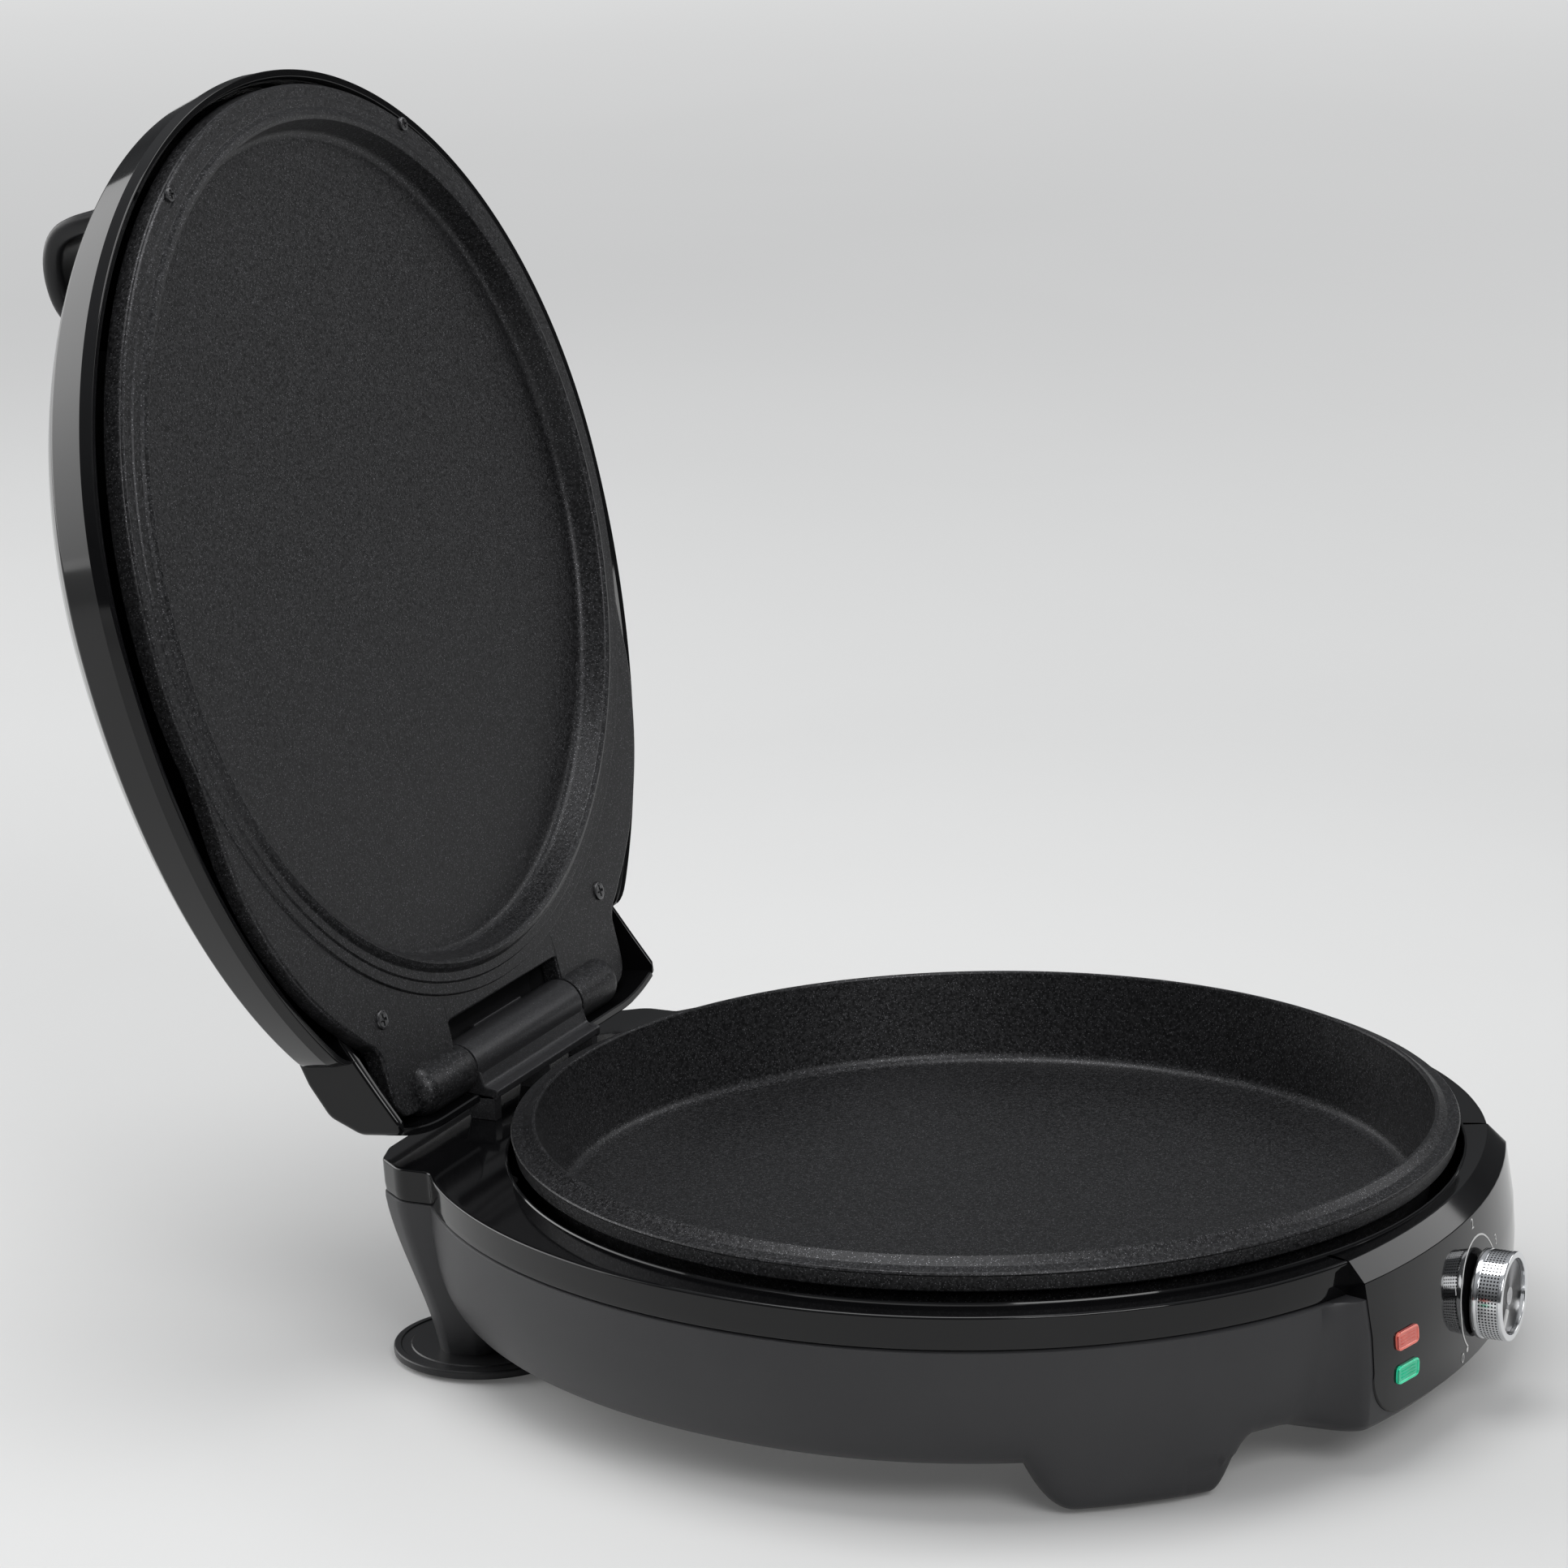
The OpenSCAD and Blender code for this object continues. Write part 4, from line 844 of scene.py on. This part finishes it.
# outer and inner rings share the cut line, so the wall has no thickness along the cut
def shellRing(radius, z):
    back = shellLook["back"] - (shellLook["side"] - radius) * shellLook["backShare"]
    limit = lookUp(shellCut, z)
    ring = []
    for k in range(360):
        t = math.radians(k)
        y = (back if k < 180 else radius * shellLook["frontShare"]) * math.sin(t)
        ring.append((radius * math.cos(t), joinIn(y, limit, 5) if k < 180 else y, z))
    return ring


def addLidShell():
    top = [(4, 141.9)] + through(domeLine, 4)
    side = softLine([top[-1], (163.8, 113.4, 3), (168.6, 109.2, 2.5), (171.8, 96.0, 0.6),
                     (171.5, 91.3, 0.5), (168.9, 91.6, 0.6), (167.4, 93.4)], 4)
    inner = [(165.6, 98.8), (162.4, 108.6), (156, 114.2), (147, 120), (115, 127.6), (75, 134),
             (28, 138.6), (4, 139.2)]
    rings = [shellRing(r, z) for r, z in top + side[1:] + inner]
    addPiece("lidShell", lofted(rings), gloss, "lid", ["lid_shell"], shut=True,
             crease=28)


# hood that runs from the shell down over the hinge
tail = {
    "half": 99.9, "endWall": 3.0, "openHalf": 43.5, "openZ": 90.8, "bow": 5.6, "bowFrom": 68.0,
    "outer": [(108, 120.4), (143, 117.2), (169, 112.3, 10), (183.2, 107.2, 9), (190.6, 97.4, 8),
              (192.6, 83.4)],
    "inner": [(189.9, 84.2), (188.0, 96.6, 6), (181.4, 104.7, 6), (168.4, 109.6, 8),
              (142.6, 114.6), (108, 117.8)],
}


def tailBow(x, y):
    past = max(abs(x) - tail["bowFrom"], 0) / (tail["half"] - tail["bowFrom"])
    return tail["bow"] * past * past * min(max((y - 145) / 40, 0), 1)


def addLidTail():
    outer = softLine(tail["outer"], 5)
    inner = softLine(tail["inner"], 5)

    def strip(lowZ):
        t = (lowZ - 97.4) / (83.4 - 97.4)
        rear = (190.6 + 2.0 * t, lowZ)
        front = (188.0 + 1.9 * t, lowZ)
        return outer[:-1] + [rear, (rear[0] - 0.5, lowZ - 0.5), (front[0] + 0.5, lowZ - 0.5),
                             front] + inner[1:]

    openHalf, half = tail["openHalf"], tail["half"] - tail["endWall"]
    stops = [-half] + [-half + 3.4 * k for k in range(1, 15)] + [-openHalf]
    rings = []
    for x in stops:
        rings.append([(x, y - tailBow(x, y), z) for y, z in strip(82.0)])
    for x in (-openHalf, -20, 0, 20, openHalf):
        rings.append([(x, y, z) for y, z in strip(tail["openZ"])])
    for x in [-v for v in reversed(stops)]:
        rings.append([(x, y - tailBow(x, y), z) for y, z in strip(82.0)])
    addPiece("lidHood", lofted(rings), gloss, "lid", shut=True, crease=35)
    wall = outer[:-1] + [(192.6, 83.0), (191.2, 81.2), (187.8, 80.9)]
    wall += [(176, 85.8), (166, 89.6), (154, 94.2), (108, 97)]
    for side, name in ((-1, "Left"), (1, "Right")):
        stops = [(tail["half"] - tail["endWall"], 0), (tail["half"] - 2.2, 0),
                 (tail["half"] - 1.2, 0.25), (tail["half"] - 0.5, 0.8), (tail["half"], 2.0)]
        rings = [[(side * x, y - tailBow(x, y), z) for y, z in drawIn(wall, inset)]
                 for x, inset in stops]
        addPiece("lidHoodEnd" + name, lofted(rings), gloss, "lid", shut=True,
                 crease=35)


# middle barrel with its dished leaf, standing on three ribs
leaf = {
    "half": 40.4, "lip": 0.45,
    "line": [(165.2, 79.8, 0.8), (165.2, 82.6, 0.8), (167.0, 82.9, 1.0), (170.0, 83.2, 4.5),
             (172.6, 90.5, 2.5), (174.6, 95.2, 1.0), (181, 95, 2), (183, 82, 2), (171, 79.6, 2)],
    "ribs": [(165.9, 72.0), (165.9, 81, 0.5), (178, 82, 0.5), (175.5, 72.0)],
}


def addHingeBracket():
    half = leaf["half"]
    barrel = [(-half, 3.3), (-half, 8.4), (-half + 0.25, 8.85), (-half + 0.8, 9.0), (0, 9.0),
              (half - 0.8, 9.0), (half - 0.25, 8.85), (half, 8.4), (half, 3.3)]
    shape = turnedAcross(barrel, place["hingeY"], place["hingeZ"])
    addPiece("hingeBarrel", shape, bracketCoat, "base", ["hinge_bracket"])
    line = softLine(leaf["line"], 5, True)
    stops = [(-half, 0.2), (-half + 0.3, -leaf["lip"]), (-half + 1.2, -leaf["lip"]),
             (-half + 1.9, 0), (half - 1.9, 0), (half - 1.2, -leaf["lip"]),
             (half - 0.3, -leaf["lip"]), (half, 0.2)]
    rings = [[(x, y, z) for y, z in (drawIn(line, inset) if inset else line)] for x, inset in stops]
    addPiece("hingeLeaf", lofted(rings), bracketCoat, "base")
    rib = softLine(leaf["ribs"], 3, True)
    for k, x in enumerate((-half, -2.5, half - 5)):
        addPiece("hingeRib" + "ABC"[k], acrossLoft(rib, x, x + 5, 0.5), bracketCoat, "base")


# loop handle: a flat strap bent into a D, with a rounded saddle beneath it
handle = {
    "half": 26.0, "thick": 7.5, "edge": 3.3,
    "path": [(-130.2, 112), (-130.2, 132), (-130.2, 152), (-129.9, 163), (-127.4, 170.4),
             (-120.8, 174.8), (-111.5, 176.2), (-102.6, 174.4), (-93.4, 167.2), (-85.2, 155.6),
             (-79.6, 142.5), (-76.4, 126)],
}
saddle = {
    "round": 24.0, "centre": (-107.0, 123.0), "frontY": -126.3,
    "ends": [(58, 0.8), (57.6, 0.87), (56.6, 0.93), (54.6, 0.975), (51, 1)],
}


def addHandle():
    path = through(handle["path"], 5)
    half, thin, edge = handle["half"], handle["thick"] / 2, handle["edge"]
    section = softLine([(-half, -thin, edge), (half, -thin, edge), (half, thin, edge),
                        (-half, thin, edge)], 6, True)
    rings = []
    for i, here in enumerate(path):
        along = (Vector(path[min(i + 1, len(path) - 1)]) - Vector(path[max(i - 1, 0)])).normalized()
        rings.append([(u, here[0] - along.y * v, here[1] + along.x * v) for u, v in section])
    addPiece("handleLoop", lofted(rings), matte, "lid", ["lid_handle"], shut=True)
    cy, cz = saddle["centre"]
    rings = []
    ends = saddle["ends"]
    for x, scale in [(-x, scale) for x, scale in ends] + [(0, 1)] + ends[::-1]:
        ring = []
        for t in fullTurn(96):
            y = cy + saddle["round"] * scale * math.cos(t)
            ring.append((x, -joinIn(-y, -saddle["frontY"], 2), cz + saddle["round"] * scale
                         * math.sin(t)))
        rings.append(ring)
    addPiece("handleSaddle", lofted(rings), matte, "lid", ["handle_saddle"],
             shut=True)


# cross-slotted screw head; it faces down, away from the lid
def crossHead(x, y, faceZ, radius, depth):
    rings = [(radius * 0.98, depth), (radius, depth * 0.45), (radius * 0.95, 0.16),
             (radius * 0.86, 0.05)]
    turns = fullTurn(96)
    points = [[(x + r * math.cos(a), y + r * math.sin(a), faceZ + z) for a in turns]
              for r, z in rings]
    arm, reach = radius * 0.13, radius * 0.62
    for share in (0.76, 0.68, 0.63, 0.6, 0.52, 0.44, 0.36, 0.28, 0.2, 0.14, 0.08, 0.03):
        r = radius * share
        ring = []
        for a in turns:
            u, v = abs(r * math.cos(a)), abs(r * math.sin(a))
            cut = (u < arm and v < reach) or (v < arm and u < reach)
            ring.append((x + r * math.cos(a), y + r * math.sin(a), faceZ + (0.7 if cut else 0)))
        points.append(ring)
    return lofted(points)


lidScrews = {
    "rimTurn": 58.8, "rimOut": 158.2, "rimZ": 85.1, "rimHead": 2.5,
    "neckX": 83.3, "neckY": 150.6, "neckZ": 86.35, "neckHead": 3.4, "depth": 1.3,
}


def addLidScrews():
    a, out = math.radians(lidScrews["rimTurn"]), lidScrews["rimOut"]
    spots = {"Rim": (out * math.cos(a), -out * math.sin(a)),
             "Neck": (lidScrews["neckX"], lidScrews["neckY"])}
    for kind, (x, y) in spots.items():
        low = kind.lower()
        for side, end in ((-1, "Left"), (1, "Right")):
            head = crossHead(side * x, y, lidScrews[low + "Z"], lidScrews[low + "Head"],
                             lidScrews["depth"])
            addPiece("lid" + kind + "Screw" + end, head, screwSteel, "lid",
                     ["lid_" + low + "_screws"], shut=True, crease=30)


# a point on the fascia's curved face, moved out from it
def onFascia(x, z, out=0.0):
    radius = lookUp(frontCurve, z)
    across = math.sqrt(radius * radius - x * x)
    return (x + x / radius * out, bezel["curveY"] - across - across / radius * out, z)


# turned about the knob's axis: t runs to the front, then the radius
def turnedFront(profile, start, height, steps=152):
    turns = fullTurn(steps)
    rings = [[(r * math.cos(a), -start - t, height + r * math.sin(a)) for a in turns]
             for t, r in profile]
    return lofted(rings)


knob = {
    "back": 176.35, "height": 39.0, "round": 78, "columns": 6, "knurlFrom": 2.75, "knurlTo": 9.5,
    "knurlR": 14.9, "pitDepth": 0.45, "faceR": 12.4, "faceT": 9.35, "pointerTurn": -129.0,
    "pointerHalf": 1.05,
}


def addKnob():
    rows = [(0.0, 3.2), (0.0, 14.2), (0.12, 14.7), (0.45, 14.95), (1.0, 15.0), (2.1, 15.0),
            (2.4, 14.9), (2.55, 14.55), (2.65, 14.55)]
    step = (knob["knurlTo"] - knob["knurlFrom"]) / knob["columns"]
    knurlStart = len(rows)
    for k in range(knob["columns"]):
        rows += [(knob["knurlFrom"] + step * (k + share), knob["knurlR"]) for share in (0.25, 0.8)]
    knurlEnd = len(rows)
    rows += [(knob["knurlTo"] + 0.05, 14.9), (knob["knurlTo"] + 0.15, 14.7),
             (knob["knurlTo"] + 0.25, 14.85)]
    rim = softLine([(9.85, 14.95), (10.95, 14.9, 1.5), (10.97, 12.7, 0.35), (8.85, 12.5, 0.1),
                    (8.85, 3.2)], 6)
    points, faces = turnedFront(rows + rim, knob["back"], knob["height"], knob["round"] * 2)
    piece = addPiece("knobSleeve", (points, faces), chrome, "knob", ["knob_sleeve"],
                     crease=35, even=False)
    piece.data.materials.append(pitPaintedShade)
    work = bmesh.new()
    work.from_mesh(piece.data)
    axis = inScene((0, 0, knob["height"]))
    front = [-(inScene((0, -knob["back"] - rows[i][0], 0)).y) for i in range(knurlStart, knurlEnd)]
    pits = []
    for face in work.faces:
        mid = face.calc_center_median()
        turn = math.degrees(math.atan2(mid.z - axis.z, mid.x)) % 360
        column = [k for k in range(0, len(front), 2) if front[k] < -mid.y < front[k + 1]]
        if column and int(turn / (180 / knob["round"])) % 2 == 0:
            if math.hypot(mid.x, mid.z - axis.z) > 14.5 * mm:
                pits.append(face)
    # pit faces take the painted shade material
    for face in pits:
        face.material_index = 1
    bmesh.ops.inset_individual(work, faces=pits, thickness=0.03 * mm, depth=-knob["pitDepth"] * mm)
    work.to_mesh(piece.data)
    work.free()
    piece.data.set_sharp_from_angle(angle=math.radians(35))
    disc = softLine([(knob["faceT"] - 0.6, 0.02), (knob["faceT"] - 0.6, knob["faceR"]),
                     (knob["faceT"] + 0.05, knob["faceR"], 0.1), (knob["faceT"] + 0.12, 11.4, 0.5),
                     (knob["faceT"] - 0.1, 5.0, 2), (knob["faceT"] - 0.12, 0.02)], 4)
    addPiece("knobFace", turnedFront(disc, knob["back"], knob["height"], 128), spunPaintedHighlight, "knob",
             ["knob_face"], crease=60, even=False)
    turn = math.radians(knob["pointerTurn"])
    w = knob["pointerHalf"]
    bar = softLine([(4.8, -w, 0.9), (11.4, -w, 0.9), (11.4, w, 0.9), (4.8, w, 0.9)], 5, True)
    rings = []
    for t, inset in ((-0.3, 0), (0.42, 0), (0.52, 0.04), (0.58, 0.16)):
        rings.append([(u * math.cos(turn) - v * math.sin(turn), -knob["back"] - knob["faceT"] - t,
                       knob["height"] + u * math.sin(turn) + v * math.cos(turn))
                      for u, v in drawIn(bar, inset)])
    addPiece("knobPointer", lofted(rings), markPaint, "knob", ["knob_pointer"])


dial = {
    "radius": 19.0, "width": 0.62, "from": -129.0, "to": -411.0, "height": 39.0, "proud": 0.05,
    "numberR": 24.0, "numberSize": 5.0, "sweep": 270.0,
    "dotDrop": 1.4, "dotTurn": 2, "lead": 4, "steps": 141,
}


def addDial():
    rings = []
    for k in range(dial["steps"] + 1):
        a = math.radians(dial["from"] + (dial["to"] - dial["from"]) * k / dial["steps"])
        ring = []
        for r, out in ((-0.5, -0.2), (-0.5, 1), (0.5, 1), (0.5, -0.2)):
            r = dial["radius"] + r * dial["width"]
            ring.append(onFascia(r * math.cos(a), dial["height"] + r * math.sin(a),
                                 out * dial["proud"]))
        rings.append(ring)
    addPiece("dialArc", lofted(rings), markPaint, "base", even=False)
    for k in range(5):
        turn = dial["from"] - dial["lead"] - (dial["sweep"] - dial["lead"]) * k / 4
        a = math.radians(turn)
        text = bpy.data.curves.new("dialNumber", "FONT")
        text.body = str(k)
        text.align_x, text.align_y = "CENTER", "CENTER"
        text.size = dial["numberSize"]
        text.resolution_u = 6
        holder = bpy.data.objects.new("dialNumber", text)
        flat = holder.to_mesh()
        centreX = dial["numberR"] * math.cos(a)
        centreZ = dial["height"] + dial["numberR"] * math.sin(a)
        points = [onFascia(centreX + v.co.x, centreZ + v.co.y, dial["proud"])
                  for v in flat.vertices]
        faces = [tuple(p.vertices) for p in flat.polygons]
        holder.to_mesh_clear()
        bpy.data.objects.remove(holder)
        addPiece("dialNumber" + str(k), (points, faces), markPaint, "base",
                 even=False)
    a = math.radians(dial["from"] - dial["dotTurn"])
    spot = []
    for r, out in ((0.9, -0.01), (0.9, 0.05), (0.78, 0.09), (0.02, 0.1)):
        spot.append([onFascia(dial["radius"] * math.cos(a) + r * math.cos(t),
                              dial["height"] + dial["radius"] * math.sin(a) - dial["dotDrop"]
                              + r * math.sin(t), out) for t in fullTurn(32)])
    addPiece("dialDot", lofted(spot), markPaint, "base", even=False)


# rim and side are the widths of the lens's painted highlight band and painted shade band
lens = {
    "x": -57.0, "half": (6.4, 3.15), "corner": 2.2, "redZ": 42.5, "greenZ": 31.1, "rim": 0.95,
    "frontR": 246, "side": 0.12,
    "levels": [(-3, 0), (0.6, 0), (0.85, 0.06), (1.0, 0.24), (1.02, 0.45), (0.95, 0.8),
               (0.72, 0.95), (0.7, 1.2)],
    "ribs": (-1.1, 0.0, 1.1),
}


def addLenses():
    w, h = lens["half"]
    line = softLine([(-w, -h, lens["corner"]), (w, -h, lens["corner"]), (w, h, lens["corner"]),
                     (-w, h, lens["corner"])], 6, True)
    lean = math.cos(math.asin(lens["x"] / lens["frontR"]))
    lensLitAndShaded = {"red": (redGlass, redPaintedHighlight, redPaintedShade), "green": (greenGlass, greenPaintedHighlight, greenPaintedShade)}
    for name, looks in lensLitAndShaded.items():
        z = lens[name + "Z"]
        rings = [[onFascia(lens["x"] + u * lean, z + v, out) for u, v in drawIn(line, inset)]
                 for out, inset in lens["levels"]]
        piece = addPiece(name + "Lens", lofted(rings), looks[0], "base",
                         [name + "_lens"], crease=50)
        for look in looks[1:]:
            piece.data.materials.append(look)
        centre = inScene(onFascia(lens["x"], z))
        # faces at the lens's sides take the painted shade, the band inside its edge the painted
        # highlight
        for face in piece.data.polygons:
            u, v = (face.center.x - centre.x) / lean / mm, (face.center.z - centre.z) / mm
            inside = min(w - abs(u), h - abs(v))
            face.material_index = 2 if inside < lens["side"] else 1 if inside < lens["rim"] else 0
        for k, v in enumerate(lens["ribs"]):
            bar = softLine([(-w + 2.2, v - 0.22, 0.2), (w - 2.2, v - 0.22, 0.2),
                            (w - 2.2, v + 0.22, 0.2), (-w + 2.2, v + 0.22, 0.2)], 3, True)
            rings = [[onFascia(lens["x"] + u * lean, z + t, out) for u, t in drawIn(bar, inset)]
                     for out, inset in ((0.4, 0), (0.82, 0), (0.88, 0.08))]
            addPiece(name + "LensRib" + "ABC"[k], lofted(rings), looks[0], "base",
                     even=False)


addPan()
addBezel()
addHousing()
addLegs()
addDiscs()
print("base pieces ready")

addLidPlate()
addLidShell()
addLidTail()
addHingeBracket()
addHandle()
addLidScrews()
print("lid pieces ready")

addKnob()
addDial()
addLenses()
print("knob, dial and lamps ready")

# camera at the viewing angle, and the studio round it
cameraView = {
    "azimuth": -65.358, "elevation": 14.959, "roll": -1.487,
    "lens": 129.67, "distance": 1916.97, "shiftX": 67.82, "shiftY": -107.98,
    "sensor": 36, "clipStart": 0.05,
}
studio = {
    "floorSize": 14.0, "floorGlow": (0.1, 0.75), "glowFrom": (0.8, 4.0),
    "floorColour": (0.66, 0.66, 0.655), "floorRoughness": 0.65, "floorShade": 0.97,
    "worldColour": (0.9, 0.92, 0.95), "worldRise": (0.2, 0.75, 0.07, 0.42), "worldSeen": 0.76,
    "key": {"at": (-1.7, -1.9, 1.9), "size": (1.6, 1.2), "power": 34.0},
    "fill": {"at": (1.9, -1.6, 1.5), "size": (1.3, 1.3), "power": 12.0},
    "side": {"at": (-0.1, 1.75, 0.75), "size": (2.4, 1.2), "power": 10.5, "spread": 100,
             "aim": (0, 0.15, 0.35)},
    "top": {"at": (-0.1, 0.3, 2.3), "size": (1.3, 1.3), "power": 24.0},
    "aim": (0.0, 0.0, 0.12),
}


def addCamera():
    az, el, roll = (math.radians(cameraView[k]) for k in ("azimuth", "elevation", "roll"))
    back = Vector((math.sin(az) * math.cos(el), -math.cos(az) * math.cos(el), math.sin(el)))
    right = Vector((0, 0, 1)).cross(back).normalized()
    up = back.cross(right)
    axisX = math.cos(roll) * right + math.sin(roll) * up
    axisY = -math.sin(roll) * right + math.cos(roll) * up
    spot = (-cameraView["shiftX"] * axisX - cameraView["shiftY"] * axisY
            + cameraView["distance"] * back + Vector((0, originY, place["rimZ"]))) * mm
    data = bpy.data.cameras.new("viewCamera")
    data.sensor_width = cameraView["sensor"]
    data.lens = cameraView["lens"]
    data.clip_start = cameraView["clipStart"]
    camera = bpy.data.objects.new("viewCamera", data)
    turn = Matrix((axisX, axisY, back)).transposed().to_4x4()
    camera.matrix_world = Matrix.Translation(spot) @ turn
    scene.collection.objects.link(camera)
    scene.camera = camera


def addSoftbox(name, box):
    data = bpy.data.lights.new(name, "AREA")
    data.shape = "RECTANGLE"
    data.size, data.size_y = box["size"]
    data.energy = box["power"]
    data.spread = math.radians(box.get("spread", 180))
    lamp = bpy.data.objects.new(name, data)
    lamp.location = box["at"]
    aim = Vector(box.get("aim", studio["aim"])) - Vector(box["at"])
    lamp.rotation_euler = aim.to_track_quat("-Z", "Y").to_euler()
    lamp.visible_camera = False
    scene.collection.objects.link(lamp)


rangeLabels = ("From Min", "From Max", "To Min", "To Max")


def addStudio():
    half = studio["floorSize"] / 2
    mesh = bpy.data.meshes.new("paleFloor")
    mesh.from_pydata([(-half, -half, 0), (half, -half, 0), (half, half, 0), (-half, half, 0)],
                     [], [(0, 1, 2, 3)])
    floor = bpy.data.objects.new("paleFloor", mesh)
    scene.collection.objects.link(floor)
    material, tree, shader = newMaterial("paleFloor", Roughness=studio["floorRoughness"])
    film = groupNode(tree, smudgeGroup, Scale=2.0, Amount=1.0)
    pale = studio["floorColour"]
    shade = [c * studio["floorShade"] for c in pale]
    wire(tree, blendColour(tree, film.outputs["Mask"], pale, shade), shader.inputs["Base Color"])
    # an even pale ground for the camera, with the object's shadow kept
    rays = tree.nodes.new("ShaderNodeLightPath")
    setInput(shader, "Emission Color", (*pale, 1))
    coords = tree.nodes.new("ShaderNodeTexCoord")
    reach = tree.nodes.new("ShaderNodeVectorMath")
    reach.operation = "LENGTH"
    wire(tree, coords.outputs["Object"], reach.inputs[0])
    rise = mapRange(tree, reach.outputs["Value"],
                    dict(zip(rangeLabels, studio["glowFrom"] + studio["floorGlow"])))
    seen = mathNode(tree, "ADD", rays.outputs["Is Camera Ray"], rays.outputs["Is Glossy Ray"])
    seen = mathNode(tree, "ADD", seen, rays.outputs["Is Transmission Ray"], clamp=True)
    glow = mathNode(tree, "MULTIPLY", seen, rise)
    wire(tree, glow, shader.inputs["Emission Strength"])
    mesh.materials.append(material)
    for name in ("key", "fill", "side", "top"):
        addSoftbox(name + "Softbox", studio[name])
    world = bpy.data.worlds.new("studioWorld")
    world.use_nodes = True
    tree = world.node_tree
    sky = tree.nodes["Background"]
    setInput(sky, "Color", (*studio["worldColour"], 1))
    # a darker horizon, as in a room beyond the lamps
    coords = tree.nodes.new("ShaderNodeTexCoord")
    split = tree.nodes.new("ShaderNodeSeparateXYZ")
    wire(tree, coords.outputs["Generated"], split.inputs[0])
    rise = mapRange(tree, split.outputs[2], dict(zip(rangeLabels, studio["worldRise"])))
    rays = tree.nodes.new("ShaderNodeLightPath")
    seen = mathNode(tree, "MULTIPLY", rays.outputs["Is Camera Ray"], studio["worldSeen"])
    wire(tree, mathNode(tree, "MAXIMUM", rise, seen), sky.inputs["Strength"])
    scene.world = world
    print("studio and camera ready")


addCamera()
addStudio()
